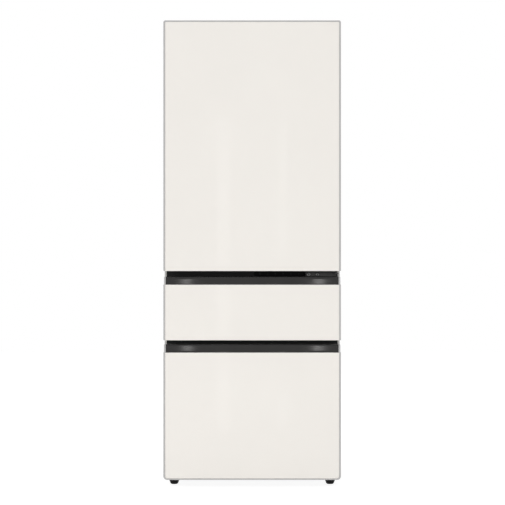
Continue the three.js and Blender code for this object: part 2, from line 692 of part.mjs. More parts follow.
// Fins in a row along X on straight tubes, with end bends left out of sight inside the end plates.
function finnedCoil(x0, length, y0, y1, z0, z1, fins, tubesY, tubesZ) {
  const pitch = (length - FIN_THICKNESS) / (fins - 1);
  const plates = [];
  for (let i = 0; i < fins; i++) {
    const x = x0 + i * pitch;
    plates.push(block(x, x + FIN_THICKNESS, y0, y1, z0, z1));
  }
  const tubes = [];
  for (let j = 0; j < tubesY; j++) {
    for (let k = 0; k < tubesZ; k++) {
      const y = y0 + ((j + 0.5) * (y1 - y0)) / tubesY;
      const z = z0 + ((k + 0.5) * (z1 - z0)) / tubesZ;
      tubes.push(bar("x", TUBE_RADIUS, x0 - TUBE_RADIUS, x0 + length + TUBE_RADIUS, [y, z], 6));
    }
  }
  return join(tubes[0], ...tubes.slice(1), ...plates);
}

function evaporator() {
  const back = linerBack - SEAT;
  const bottom = upperRoom.floor + DUCT_MARGIN + DUCT_WALL + EVAPORATOR_RISE;
  return piece("evaporator", "aluminium", finnedCoil(
    -EVAPORATOR_LENGTH / 2, EVAPORATOR_LENGTH, back - EVAPORATOR_DEPTH, back,
    bottom, bottom + EVAPORATOR_HEIGHT, EVAPORATOR_FINS, 1, 3,
  ));
}

// A hub with flat blades set at an angle, turning about Y. The bore is blind and open at the back.
function axialFan(radius, hubRadius, width) {
  const bore = bar("y", FAN_SHAFT_RADIUS + RUN, width - FAN_BORE_DEPTH, width + OVER, [0, 0], 12);
  const hub = bar("y", hubRadius, 0, width, [0, 0]);
  const vanes = [];
  for (let i = 0; i < FAN_BLADES; i++) {
    const reach = radius - hubRadius / 2;
    const vane = new THREE.BoxGeometry(reach, BLADE_THICKNESS, radius * BLADE_CHORD);
    vane.rotateX(BLADE_PITCH);
    vane.translate(hubRadius / 2 + reach / 2, width / 2, 0);
    vane.rotateY((i * 2 * Math.PI) / FAN_BLADES);
    vanes.push(solidOf(vane));
  }
  const sweep = bar("y", radius, ROOT, width - ROOT, [0, 0], 32);
  return cut(join(hub, ...vanes.map((vane) => vane.intersect(sweep))), bore);
}

function coldFan() {
  const mesh = piece("cold_fan", "black", axialFan(FAN_RADIUS, FAN_BOSS_RADIUS, COLD_FAN_DEPTH));
  mesh.position.set(0, linerBack - FAN_BOSS_LENGTH - RUN - COLD_FAN_DEPTH, upperRoom.floor + FAN_HEIGHT);
  return mesh;
}

function roomLamp() {
  const top = upperRoom.ceiling - SEAT;
  const outline = roundedRectangle(
    -LAMP_WIDTH / 2, LAMP_WIDTH / 2, top - LAMP_THICKNESS, top, LAMP_RADIUS, 0,
  );
  return piece("room_lamp", "lamp", prismY(outline, SHELF_FRONT, SHELF_FRONT + LAMP_DEPTH));
}

// ---------------------------------------------------------------- hinges, in the case's frame

const pinY = hingeY - caseFromFront; // the hinge's axis in the case's frame
const topPlateRight = caseHalf - COVER_INSET - COVER_WALL - PLATE_GAP;
const topPlateBack = TOP_PLATE_SETBACK + TOP_PLATE_DEPTH;

// An arm with a round end on the hinge's axis, from its root on the plate that carries it.
function hingeArm(root, bottom) {
  const arm = new THREE.Shape();
  arm.moveTo(hingeX + HINGE_ARM_RADIUS, root);
  arm.lineTo(hingeX - HINGE_ARM_RADIUS, root);
  arm.lineTo(hingeX - HINGE_ARM_RADIUS, pinY);
  arm.absarc(hingeX, pinY, HINGE_ARM_RADIUS, Math.PI, 2 * Math.PI);
  return prismZ(arm, bottom, bottom + HINGE_PLATE, 12);
}

function topHinge() {
  const bottom = caseTop + SEAT;
  const right = topPlateRight;
  const plate = roundedRectangle(
    right - TOP_PLATE_WIDTH, right, TOP_PLATE_SETBACK, topPlateBack, TOP_PLATE_RADIUS,
  );
  const arm = hingeArm(TOP_PLATE_SETBACK + TOP_PLATE_RADIUS + ROOT, bottom);
  const low = bottom - NOTCH_FLOOR_GAP - HINGE_PIN_LENGTH;
  const pin = bar("z", HINGE_PIN_RADIUS, low, bottom + ROOT, [hingeX, pinY]);
  return piece("top_hinge", "steel", join(prismZ(plate, bottom, bottom + HINGE_PLATE), arm, pin));
}

function topHingeCover() {
  const bottom = caseTop + SEAT;
  const right = caseHalf - COVER_INSET;
  const left = topPlateRight - TOP_PLATE_WIDTH - COVER_MARGIN;
  const outline = (inset) => roundedRectangle(
    left + inset, right - inset,
    COVER_SETBACK + inset, topPlateBack + COVER_MARGIN - inset, COVER_RADIUS - inset,
  );
  const armRoom = HINGE_ARM_RADIUS + PLATE_GAP;
  const shell = cut(
    prismZ(outline(0), bottom, bottom + COVER_HEIGHT),
    prismZ(outline(COVER_WALL), bottom - OVER, bottom + COVER_HEIGHT - COVER_WALL),
    block(
      hingeX - armRoom, hingeX + armRoom, COVER_SETBACK - OVER, TOP_PLATE_SETBACK,
      bottom - OVER, bottom + HINGE_PLATE + PLATE_GAP,
    ),
  );
  return piece("top_hinge_cover", "dark", shell);
}

function middleHinge() {
  const bottom = middleTop + MIDDLE_BRACKET_RISE;
  const top = bottom + MIDDLE_BRACKET_HEIGHT;
  const left = bracketRight - MIDDLE_BRACKET_WIDTH;
  const front = -SEAT - MIDDLE_BRACKET_REACH;
  const lip = front + MIDDLE_FLANGE_THICKNESS;
  const flange = -SEAT - MIDDLE_FLANGE_THICKNESS;
  const flangeTop = bottom + MIDDLE_FLANGE_HEIGHT;
  const under = top - HINGE_PLATE;
  // A folded bracket: flange on the case, top plate and a lip turned down at the front.
  const profile = polygon([
    [-SEAT, bottom], [-SEAT, flangeTop], [flange, flangeTop], [flange, top], [front, top],
    [front, bottom], [lip, bottom], [lip, under], [flange, under], [flange, bottom],
  ]);
  const arm = hingeArm(front + ROOT, under);
  const pin = bar("z", HINGE_PIN_RADIUS, top - ROOT, upperBottom + HINGE_PIN_LENGTH, [hingeX, pinY]);
  return piece("middle_hinge", "dark", join(prismX(profile, left, bracketRight), arm, pin));
}

// ---------------------------------------------------------------- slides, in the case's frame

// Half of a lipped channel, open towards the middle of the refrigerator, drawn in X and Z round z = 0.
function channelOutline(outer, inner, halfHeight) {
  const wall = SLIDE_WALL;
  const web = halfHeight - wall;
  const lip = web - SLIDE_LIP;
  return [
    [outer, -halfHeight], [outer, halfHeight], [inner, halfHeight], [inner, lip],
    [inner + wall, lip], [inner + wall, web], [outer - wall, web], [outer - wall, -web],
    [inner + wall, -web], [inner + wall, -lip], [inner, -lip], [inner, -halfHeight],
  ];
}

function sided(points, s) {
  const placed = points.map(([x, z]) => [s * x, z]);
  return polygon(s > 0 ? placed.reverse() : placed);
}

function fixedSlide(name, s, z) {
  const points = channelOutline(slideOuter, slideOuter - SLIDE_DEPTH, SLIDE_HEIGHT / 2);
  const mesh = piece(name, "steel", prismY(sided(points, s), SLIDE_FRONT, SLIDE_FRONT + slideLength));
  mesh.position.z = z;
  return mesh;
}

const carrierOuter = slideOuter - SLIDE_WALL - RUN;
const carrierInner = slideOuter - SLIDE_DEPTH + SLIDE_WALL + RUN;
const carrierHalf = SLIDE_HEIGHT / 2 - SLIDE_WALL - RUN;

function slideCarrier(name, s, z) {
  const points = channelOutline(carrierOuter, carrierInner, carrierHalf);
  const front = SLIDE_FRONT + SLIDE_STOP_FRONT;
  const back = SLIDE_FRONT + slideLength - SLIDE_STOP_BACK;
  const mesh = piece(name, "steel", prismY(sided(points, s), front, back));
  mesh.position.z = z;
  return mesh;
}

// ---------------------------------------------------------------- machine compartment, in the case's frame

const panTop = CASE_BOTTOM + BASE_SHEET;
const machineMiddle = machineFront + BASE_SHEET + (MACHINE_DEPTH - BASE_SHEET) / 2;
const blowerZ = panTop + SEAT + SHROUD_HEIGHT / 2;
const motorX = SHROUD_X + BLOWER_DEPTH + SHROUD_THICKNESS;
const motorFace = motorX - 2 * ROOT; // front of the arms that carry the motor
const compressorX = COMPRESSOR_FROM_SIDE - caseHalf;
const condenserX = motorX + MOTOR_LENGTH + CONDENSER_GAP;
const condenserLength = caseHalf - SHEET - SEAT - CONDENSER_MARGIN - condenserX;

function compressor() {
  const plateBottom = panTop + SEAT + MOUNT_HEIGHT;
  const shellBottom = plateBottom + COMPRESSOR_PLATE - ROOT;
  const r = COMPRESSOR_RADIUS;
  const h = COMPRESSOR_HEIGHT;
  const dome = new THREE.LatheGeometry([
    [0, 0], [r * 0.72, 0], [r * 0.93, h * 0.08], [r, h * 0.2], [r, h * 0.46], [r * 1.03, h * 0.47],
    [r * 1.03, h * 0.51], [r, h * 0.52], [r * 0.97, h * 0.78], [r * 0.78, h * 0.93], [r * 0.4, h], [0, h],
  ].map(([a, b]) => new THREE.Vector2(a, b)), 20);
  dome.rotateX(Math.PI / 2);
  dome.translate(compressorX, machineMiddle, shellBottom);
  const w = COMPRESSOR_PLATE_WIDTH / 2;
  const d = COMPRESSOR_PLATE_DEPTH / 2;
  const plate = prismZ(
    roundedRectangle(
      compressorX - w, compressorX + w, machineMiddle - d, machineMiddle + d, COMPRESSOR_PLATE_RADIUS,
    ),
    plateBottom, plateBottom + COMPRESSOR_PLATE,
  );
  const mounts = [];
  for (const sx of [-1, 1]) {
    for (const sy of [-1, 1]) {
      const middle = [compressorX + sx * (w - MOUNT_INSET), machineMiddle + sy * (d - MOUNT_INSET)];
      mounts.push(bar("z", MOUNT_RADIUS, panTop + SEAT, plateBottom + ROOT, middle, 12));
    }
  }
  const stub = bar(
    "z", STUB_RADIUS, shellBottom + h * 0.9, shellBottom + h + STUB_LENGTH,
    [compressorX + r * 0.35, machineMiddle], 10,
  );
  const terminal = block(
    compressorX + r * 0.7, compressorX + r + TERMINAL_REACH,
    machineMiddle - TERMINAL_WIDTH / 2, machineMiddle + TERMINAL_WIDTH / 2,
    shellBottom + h * 0.25, shellBottom + h * 0.62,
  );
  return piece("compressor", "black", join(solidOf(dome), plate, ...mounts, stub, terminal));
}

function condenser() {
  const bottom = panTop + SEAT;
  return piece("condenser", "steel", finnedCoil(
    condenserX, condenserLength, machineMiddle - CONDENSER_WIDTH / 2, machineMiddle + CONDENSER_WIDTH / 2,
    bottom, bottom + CONDENSER_HEIGHT, CONDENSER_FINS, 2, 2,
  ));
}

function fanShroud() {
  const bottom = panTop + SEAT;
  const y0 = machineMiddle - SHROUD_WIDTH / 2;
  const y1 = machineMiddle + SHROUD_WIDTH / 2;
  const outline = roundedRectangle(y0, y1, bottom, bottom + SHROUD_HEIGHT, 0, SHROUD_RADIUS);
  const plate = prismX(outline, SHROUD_X, SHROUD_X + SHROUD_THICKNESS);
  const middle = [machineMiddle, blowerZ];
  const mouthRadius = BLOWER_RADIUS + BLOWER_TIP_GAP;
  const ringRadius = mouthRadius + BLOWER_RING_WALL;
  const ring = bar("x", ringRadius, SHROUD_X, motorX, middle, 32);
  const mouth = bar("x", mouthRadius, SHROUD_X - OVER, motorX + OVER, middle, 32);
  // Two arms cross the ring and carry the motor.
  const armBack = motorFace + MOTOR_ARM_DEPTH;
  const w = MOTOR_ARM_WIDTH / 2;
  const level = ringRadius + ROOT;
  const upright = ringRadius - ROOT;
  const arms = [
    block(motorFace, armBack, machineMiddle - level, machineMiddle + level, blowerZ - w, blowerZ + w),
    block(motorFace, armBack, machineMiddle - w, machineMiddle + w, blowerZ - upright, blowerZ + upright),
  ];
  const motor = bar("x", MOTOR_RADIUS, motorX, motorX + MOTOR_LENGTH, middle);
  const shaft = bar("x", FAN_SHAFT_RADIUS, motorFace - FAN_BORE_DEPTH, motorX, middle, 12);
  return piece("fan_shroud", "black", join(cut(join(plate, ring), mouth), ...arms, motor, shaft));
}

function condenserFan() {
  const width = BLOWER_DEPTH - BLOWER_SETBACK;
  const mesh = piece("condenser_fan", "dark", axialFan(BLOWER_RADIUS, BLOWER_HUB_RADIUS, width));
  mesh.rotation.z = -Math.PI / 2;
  mesh.position.set(motorFace - RUN - width, machineMiddle, blowerZ);
  return mesh;
}

function machineCover() {
  const side = caseHalf - SHEET - SEAT;
  const bottom = CASE_BOTTOM + BASE_SHEET + SEAT;
  const front = CASE_DEPTH - SHEET;
  const sheet = block(-side, side, front, CASE_DEPTH, bottom, machineTop - SEAT + BASE_SHEET);
  const slots = [];
  const vents = [
    [compressorX - LOUVRE_REACH, compressorX + LOUVRE_REACH],
    [condenserX, condenserX + condenserLength],
  ];
  for (let i = 0; i < LOUVRE_COUNT; i++) {
    const z = bottom + LOUVRE_RISE + i * LOUVRE_PITCH;
    for (const [x0, x1] of vents) {
      slots.push(prismY(rectangle(x0, x1, z, z + LOUVRE_HEIGHT), front - OVER, CASE_DEPTH + OVER));
    }
  }
  // The mains lead leaves through a moulded gland, which points inwards so the cover stays flush.
  const middle = [GLAND_X, bottom + GLAND_RISE];
  const gland = bar("y", GLAND_RADIUS, front - GLAND_LENGTH, CASE_DEPTH, middle);
  const bore = bar("y", GLAND_BORE, front - GLAND_LENGTH - OVER, CASE_DEPTH + OVER, middle, 12);
  return piece("machine_cover", "steel", cut(join(cut(sheet, ...slots), gland), bore));
}

// ---------------------------------------------------------------- feet and rollers, in the case's frame

function frontFoot(name, s) {
  const top = CASE_BOTTOM - SEAT;
  const neck = FOOT_HEX - FOOT_STEP;
  const flange = FOOT_RADIUS - FOOT_STEP;
  const foot = turned([
    [0, 0], [FOOT_TOE_RADIUS, 0], [FOOT_TOE_RADIUS + FOOT_TOE_FLARE, FOOT_STEP],
    [FOOT_RADIUS, FOOT_SHOULDER], [FOOT_RADIUS, FOOT_CUP], [neck, FOOT_CUP + FOOT_STEP],
    [neck, top - FOOT_FLANGE - ROOT], [flange, top - FOOT_FLANGE], [flange, top], [0, top],
  ]);
  const nut = bar("z", FOOT_HEX, FOOT_CUP + ROOT, top - FOOT_FLANGE - ROOT / 2, [0, 0], 6);
  const stud = bar("z", FOOT_STUD_RADIUS, top - ROOT, top + FOOT_STUD_LENGTH, [0, 0], 12);
  const mesh = piece(name, "black", join(foot, nut, stud));
  mesh.position.set(s * footX, FOOT_Y, 0);
  return mesh;
}

function rearRoller(name, s) {
  const w = ROLLER_WIDTH / 2;
  const axle = w + RUN + ROLLER_EAR + ROLLER_AXLE_END;
  const shoulder = ROLLER_RADIUS - ROLLER_CHAMFER;
  const rolling = w - ROLLER_CHAMFER;
  const wheel = turned([
    [0, -axle], [ROLLER_AXLE_RADIUS, -axle], [ROLLER_AXLE_RADIUS, -w], [shoulder, -w],
    [ROLLER_RADIUS, -rolling], [ROLLER_RADIUS, rolling],
    [shoulder, w], [ROLLER_AXLE_RADIUS, w], [ROLLER_AXLE_RADIUS, axle], [0, axle],
  ]);
  const mesh = piece(name, "black", wheel);
  mesh.rotation.y = Math.PI / 2;
  mesh.position.set(s * rollerX, CASE_DEPTH - ROLLER_FROM_BACK, ROLLER_RADIUS);
  return mesh;
}

// ---------------------------------------------------------------- door and drawer fronts
// y = 0 is the front's face, and z = 0 is its bottom.

// The panel lies in the frame's rim at the sides, and at the top or bottom where rims says so.
function frontPanel(name, height, rims) {
  const x = half - RIM - SEAT;
  const low = rims.bottom ? RIM + SEAT : 0;
  const high = height - (rims.top ? RIM + SEAT : 0);
  const lowRadius = rims.bottom ? BOTTOM_RADIUS - RIM : PANEL_RADIUS;
  const highRadius = rims.top ? TOP_RADIUS - RIM : PANEL_RADIUS;
  const outline = roundedRectangle(-x, x, low, high, lowRadius, highRadius);
  return piece(name, "panel", prismY(outline, 0, PANEL_THICKNESS));
}

function panelPocket(height, rims) {
  const x = half - RIM;
  const low = rims.bottom ? RIM : -OVER;
  const high = height - (rims.top ? RIM : -SEAT);
  const lowRadius = rims.bottom ? BOTTOM_RADIUS - RIM : 0;
  const highRadius = rims.top ? TOP_RADIUS - RIM : 0;
  return prismY(roundedRectangle(-x, x, low, high, lowRadius, highRadius), -OVER, PANEL_THICKNESS + SEAT);
}

function gasket(name, low, high) {
  const x = half - GASKET_INSET;
  const w = GASKET_WIDTH;
  const ring = roundedRectangle(-x, x, low, high, GASKET_RADIUS);
  ring.holes.push(roundedRectangle(-x + w, x - w, low + w, high - w, GASKET_RADIUS / 2));
  return piece(name, "gasket", prismY(ring, FRONT_DEPTH + SEAT, FRONT_DEPTH + SEAT + GASKET_DEPTH));
}

// ---------------------------------------------------------------- drawers

const handleBack = HANDLE_FACE + HANDLE_LEAN + HANDLE_LIP + HANDLE_POCKET + HANDLE_WALL;
const handleSide = half - HANDLE_INSET - HANDLE_CHEEK; // inner face of the frame's cheek

// A trough along the top edge: a face that curves back to its lip, then the finger pocket and its back wall.
function handle(name, panelHeight) {
  const face = HANDLE_FACE;
  const skin = HANDLE_FACE + HANDLE_SKIN;
  const top = HANDLE_HEIGHT;
  const bulge = top * HANDLE_BULGE;
  const lipFront = face + HANDLE_LEAN;
  const lipBack = lipFront + HANDLE_LIP;
  const wall = lipBack + HANDLE_POCKET;
  const outline = new THREE.Shape();
  outline.moveTo(face, SEAT);
  outline.lineTo(handleBack, SEAT);
  outline.lineTo(handleBack, top);
  outline.lineTo(wall, top);
  outline.lineTo(wall, HANDLE_FLOOR);
  outline.lineTo(skin, HANDLE_FLOOR);
  outline.quadraticCurveTo(skin, bulge, lipBack, top);
  outline.lineTo(lipFront, top);
  outline.quadraticCurveTo(face, bulge, face, SEAT);
  const x = handleSide - SEAT;
  const mesh = piece(name, "handle", prismX(outline, -x, x, 6));
  mesh.position.z = panelHeight;
  return mesh;
}

function drawerFrame(name, panelHeight, rims) {
  const top = panelHeight + HANDLE_HEIGHT;
  const lowRadius = rims.bottom ? BOTTOM_RADIUS : EDGE_RADIUS;
  const body = prismY(
    roundedRectangle(-half, half, 0, top, lowRadius, SHOULDER_RADIUS), RIM_SETBACK, FRONT_DEPTH,
  );
  const trough = block(-handleSide, handleSide, -OVER, handleBack + SEAT, panelHeight, top + OVER);
  // Beside the handle the cheeks follow its leaning face, and the front is narrower.
  const lean = polygon([
    [-OVER, panelHeight], [HANDLE_FACE + CHEEK_SETBACK, panelHeight],
    [HANDLE_FACE + HANDLE_LEAN + OVER, top + OVER], [-OVER, top + OVER],
  ]);
  const shoulders = [-1, 1].map((s) => block(
    ...span(s * (half + OVER), s * (half - HANDLE_INSET)), -OVER, FRONT_DEPTH + OVER, panelHeight, top + OVER,
  ));
  return piece(name, "frame", cut(
    body, panelPocket(panelHeight, rims), trough, prismX(lean, -half, half), ...shoulders,
  ));
}

// An open box on the back of a drawer front, with a runner on each side that rides in its slide.
function basket(name, bottom, height, basketDepth, slideZ) {
  const front = basketFront;
  const back = front + basketDepth;
  const x = basketHalf;
  const w = BASKET_WALL;
  const outer = block(-x, x, front, back, bottom, bottom + height);
  const inner = block(-x + w, x - w, front + w, back - w, bottom + w, bottom + height + OVER);
  const headHalf = carrierHalf - SLIDE_WALL - RUN;
  const webHalf = headHalf - SLIDE_LIP;
  const headOuter = carrierOuter - SLIDE_WALL - RUN;
  const headInner = carrierInner + SLIDE_WALL + RUN;
  const runnerFront = caseFromFront + SLIDE_FRONT + 2 * SLIDE_STOP_FRONT;
  const runnerBack = caseFromFront + SLIDE_FRONT + slideLength - 2 * SLIDE_STOP_BACK;
  const runners = [-1, 1].map((s) => prismY(sided([
    [x - w, slideZ - webHalf], [x - w, slideZ + webHalf],
    [headInner, slideZ + webHalf], [headInner, slideZ + headHalf], [headOuter, slideZ + headHalf],
    [headOuter, slideZ - headHalf], [headInner, slideZ - headHalf], [headInner, slideZ - webHalf],
  ].reverse(), s), runnerFront, runnerBack));
  return piece(name, "basket", join(cut(outer, inner), ...runners));
}

// A kimchi container: a straight-sided box with a rim, and a lid whose skirt fits round the rim.
function containerPair(prefix, bottom, height, boxDepth) {
  const pieces = [];
  const outerWidth = basketHalf - BASKET_WALL - 1.5 * BOX_GAP;
  const front = basketFront + BASKET_WALL + BOX_GAP;
  const rim = LID_SKIRT + SEAT;
  for (const [side, centre] of [["left", -1], ["right", 1]]) {
    const x = centre * (outerWidth / 2 + BOX_GAP / 2);
    const shape = (inset) => roundedRectangle(
      -outerWidth / 2 + inset, outerWidth / 2 - inset,
      front + inset, front + boxDepth - inset, BOX_RADIUS - inset,
    );
    const wallInset = rim + BOX_RIM;
    const body = join(
      prismZ(shape(wallInset), 0, height),
      prismZ(shape(rim), height - BOX_RIM_HEIGHT, height),
    );
    const box = piece(`${prefix}_container_${side}`, "container", cut(
      body, prismZ(shape(wallInset + BOX_WALL), BOX_WALL, height + OVER),
    ));
    const lid = piece(`${prefix}_lid_${side}`, "lid", cut(
      prismZ(shape(0), height + SEAT + LID_THICKNESS - LID_HEIGHT, height + SEAT + LID_THICKNESS),
      prismZ(shape(LID_SKIRT), height + SEAT - LID_HEIGHT, height + SEAT),
    ));
    for (const mesh of [box, lid]) mesh.position.set(x, 0, bottom);
    pieces.push(box, lid);
  }
  return pieces;
}

function drawer(prefix, spec) {
  const { bottom, panelHeight, rims, gasketLow, basketDepth, basketHeight, boxHeight } = spec;
  const roomFloor = spec.room.floor - bottom;
  const floor = roomFloor + BASKET_FLOOR_GAP;
  const slideZ = roomFloor + spec.slideHeight;
  const boxDepth = basketDepth - 2 * BASKET_WALL - 2 * BOX_GAP;
  return assembly(0, frontY, bottom,
    frontPanel(`${prefix}_panel`, panelHeight, rims),
    drawerFrame(`${prefix}_front_frame`, panelHeight, rims),
    handle(`${prefix}_handle`, panelHeight),
    gasket(`${prefix}_gasket`, gasketLow, panelHeight + HANDLE_HEIGHT - GASKET_TOP_INSET),
    basket(`${prefix}_basket`, floor, basketHeight, basketDepth, slideZ),
    ...containerPair(prefix, floor + BASKET_WALL + SEAT, boxHeight, boxDepth),
  );
}

// ---------------------------------------------------------------- upper door

const notchFloor = caseTop + SEAT - NOTCH_FLOOR_GAP - upperBottom;
const doorTopSeal = caseTop - DOOR_SEAL_DROP - upperBottom;
const dyke = {
  x: linerHalf - DYKE_CLEARANCE,
  low: upperRoom.floor + DYKE_CLEARANCE - upperBottom,
  high: upperRoom.ceiling - DYKE_CLEARANCE - upperBottom,
};

function doorFrame() {
  const rims = { top: true, bottom: false };
  const back = FRONT_DEPTH - LINING_SINK - DOOR_LINING - SEAT;
  const outline = roundedRectangle(-half, half, 0, UPPER_PANEL_HEIGHT, EDGE_RADIUS, TOP_RADIUS);
  const body = prismY(outline, RIM_SETBACK, back);
  const recess = block(
    -half + GRIP_LEFT, half - GRIP_RIGHT, GRIP_LIP, GRIP_LIP + GRIP_RECESS_DEPTH, -OVER, GRIP_RECESS_HEIGHT,
  );
  const notch = block(
    hingeX - HINGE_ARM_RADIUS - NOTCH_SIDE_GAP, half + OVER,
    hingeY - HINGE_ARM_RADIUS - NOTCH_FRONT_GAP, FRONT_DEPTH + OVER, notchFloor, UPPER_PANEL_HEIGHT + OVER,
  );
  const boreLength = HINGE_PIN_LENGTH + HINGE_BORE_END;
  const axis = [hingeX, hingeY];
  const topBore = bar("z", HINGE_BORE_RADIUS, notchFloor - boreLength, notchFloor + OVER, axis);
  const lowBore = bar("z", HINGE_BORE_RADIUS, -OVER, boreLength, axis);
  const pocket = panelPocket(UPPER_PANEL_HEIGHT, rims);
  return piece("upper_door_frame", "frame", cut(body, pocket, recess, notch, topBore, lowBore));
}

function binFloor(index) {
  return dyke.low + DYKE_WIDTH + BIN_FIRST + index * BIN_PITCH;
}

function doorLining() {
  const x = half - LINING_EDGE;
  const plateTop = notchFloor - LINING_TOP_GAP;
  const face = FRONT_DEPTH - LINING_SINK;
  const plate = prismY(roundedRectangle(-x, x, LINING_EDGE, plateTop, EDGE_RADIUS), face - DOOR_LINING, face);
  const inside = dyke.x - DYKE_WIDTH;
  const ring = roundedRectangle(-dyke.x, dyke.x, dyke.low, dyke.high, DYKE_RADIUS);
  ring.holes.push(roundedRectangle(
    -inside, inside, dyke.low + DYKE_WIDTH, dyke.high - DYKE_WIDTH, DYKE_RADIUS / 2,
  ));
  const raised = prismY(ring, face - ROOT, FRONT_DEPTH + DYKE_DEPTH, 3);
  const pegs = [];
  const pegFront = FRONT_DEPTH + PEG_STANDOFF;
  for (let i = 0; i < BIN_COUNT; i++) {
    const top = binFloor(i) + BIN_HEIGHT - EAR_HEIGHT - SEAT;
    for (const s of [-1, 1]) {
      const [x0, x1] = span(s * (inside + ROOT), s * (inside - PEG_REACH));
      pegs.push(block(x0, x1, pegFront, pegFront + PEG_DEPTH, top - PEG_HEIGHT, top));
    }
  }
  return piece("upper_door_lining", "lining", join(plate, raised, ...pegs));
}

// A bin hangs by an ear at each end on the lining's pegs, and lifts off them.
function doorBin(index) {
  const x = dyke.x - DYKE_WIDTH - PEG_REACH - PEG_GAP;
  const front = FRONT_DEPTH + SEAT;
  const back = front + BIN_DEPTH;
  const w = BIN_WALL;
  const shell = cut(
    block(-x, x, front, back, 0, BIN_HEIGHT),
    block(-x + w, x - w, front + w, back - w, w, BIN_HEIGHT + OVER),
  );
  const earFront = FRONT_DEPTH + PEG_STANDOFF - EAR_MARGIN;
  const earBack = FRONT_DEPTH + PEG_STANDOFF + PEG_DEPTH + EAR_MARGIN;
  const ears = [-1, 1].map((s) => block(
    ...span(s * (x - ROOT), s * (dyke.x - DYKE_WIDTH - PEG_GAP)), earFront, earBack,
    BIN_HEIGHT - EAR_HEIGHT, BIN_HEIGHT,
  ));
  const mesh = piece(`door_bin_${index + 1}`, "clear", join(shell, ...ears));
  mesh.position.z = binFloor(index);
  return mesh;
}

function upperDoor() {
  const bins = Array.from({ length: BIN_COUNT }, (_, i) => doorBin(i));
  return assembly(0, frontY, upperBottom,
    frontPanel("upper_panel", UPPER_PANEL_HEIGHT, { top: true, bottom: false }),
    doorFrame(),
    doorLining(),
    gasket("upper_gasket", GASKET_BOTTOM_INSET, doorTopSeal),
    ...bins,
  );
}

// ---------------------------------------------------------------- the refrigerator

const middleSlideZ = middleRoom.floor + MIDDLE_SLIDE_HEIGHT;
const lowerSlideZ = lowerRoom.floor + LOWER_SLIDE_HEIGHT;
const slides = [["middle", middleSlideZ], ["lower", lowerSlideZ]].flatMap(([level, z]) =>
  [["left", -1], ["right", 1]].flatMap(([side, s]) => [
    fixedSlide(`${level}_slide_${side}`, s, z),
    slideCarrier(`${level}_carrier_${side}`, s, z),
  ]),
);
const shelves = Array.from({ length: SHELF_COUNT }, (_, i) => shelf(i));

const cabinet = assembly(0, caseY, 0,
  outerCase(), backPanel(), basePan(), insulationFoam(),
  upperLining(), middleLining(), lowerLining(),
  crossRail("upper_cross_rail", upperRail), crossRail("lower_cross_rail", lowerRail),
  controlDisplay(), ...shelves, ductCover(), evaporator(), coldFan(), roomLamp(),
  topHinge(), topHingeCover(), middleHinge(), ...slides,
  compressor(), condenser(), fanShroud(), condenserFan(), machineCover(),
  frontFoot("front_foot_left", -1), frontFoot("front_foot_right", 1),
  rearRoller("rear_roller_left", -1), rearRoller("rear_roller_right", 1),
);

const middleDrawer = drawer("middle", {
  bottom: middleBottom,
  panelHeight: MIDDLE_PANEL_HEIGHT,
  rims: { top: false, bottom: false },
  room: middleRoom,
  gasketLow: GASKET_BOTTOM_INSET,
  basketDepth: middleBasketDepth,
  basketHeight: MIDDLE_BASKET_HEIGHT,
  slideHeight: MIDDLE_SLIDE_HEIGHT,
  boxHeight: MIDDLE_BOX_HEIGHT,
});

const lowerDrawer = drawer("lower", {
  bottom: lowerBottom,
  panelHeight: LOWER_PANEL_HEIGHT,
  rims: { top: false, bottom: true },
  room: lowerRoom,
  gasketLow: LOWER_GASKET_RISE,
  basketDepth: lowerBasketDepth,
  basketHeight: LOWER_BASKET_HEIGHT,
  slideHeight: LOWER_SLIDE_HEIGHT,
  boxHeight: LOWER_BOX_HEIGHT,
});

const refrigerator = new THREE.Group();
refrigerator.add(cabinet, upperDoor(), middleDrawer, lowerDrawer);

export default refrigerator;
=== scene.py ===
"""A free-standing kimchi refrigerator: its finished surfaces and the studio that shows it.

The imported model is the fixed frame. Each operator below works out one kind of piece as surfaces computed
with numpy, in millimetres in the frame's own axes, and hangs it on the body that carries it.
"""

import json
import math

import bmesh
import bpy
import numpy as np
from bpy.props import FloatProperty, FloatVectorProperty, IntProperty, PointerProperty
from bpy.types import Operator, Panel, PropertyGroup
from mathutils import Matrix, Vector


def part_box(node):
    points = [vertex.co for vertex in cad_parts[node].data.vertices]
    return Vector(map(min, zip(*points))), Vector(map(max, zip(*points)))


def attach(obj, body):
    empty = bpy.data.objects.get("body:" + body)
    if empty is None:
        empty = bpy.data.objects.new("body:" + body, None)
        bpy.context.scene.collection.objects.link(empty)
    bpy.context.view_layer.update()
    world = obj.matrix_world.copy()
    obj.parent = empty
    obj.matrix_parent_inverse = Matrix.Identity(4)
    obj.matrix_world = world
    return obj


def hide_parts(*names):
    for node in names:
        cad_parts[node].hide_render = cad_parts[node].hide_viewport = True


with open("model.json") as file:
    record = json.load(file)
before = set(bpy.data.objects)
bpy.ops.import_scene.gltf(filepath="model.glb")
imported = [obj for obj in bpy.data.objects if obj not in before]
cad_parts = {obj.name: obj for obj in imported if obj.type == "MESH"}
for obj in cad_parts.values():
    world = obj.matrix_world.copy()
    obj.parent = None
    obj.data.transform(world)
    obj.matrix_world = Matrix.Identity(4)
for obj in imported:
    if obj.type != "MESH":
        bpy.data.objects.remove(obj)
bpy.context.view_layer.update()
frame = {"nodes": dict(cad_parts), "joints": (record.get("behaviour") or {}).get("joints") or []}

bl_info = {
    "name": "Kimchi Refrigerator",
    "version": (1, 0, 0),
    "blender": (4, 5, 0),
    "location": "View3D > Sidebar > Refrigerator",
    "description": "Builds the surfaces, finishes and studio of a free-standing kimchi refrigerator",
    "category": "Object",
}

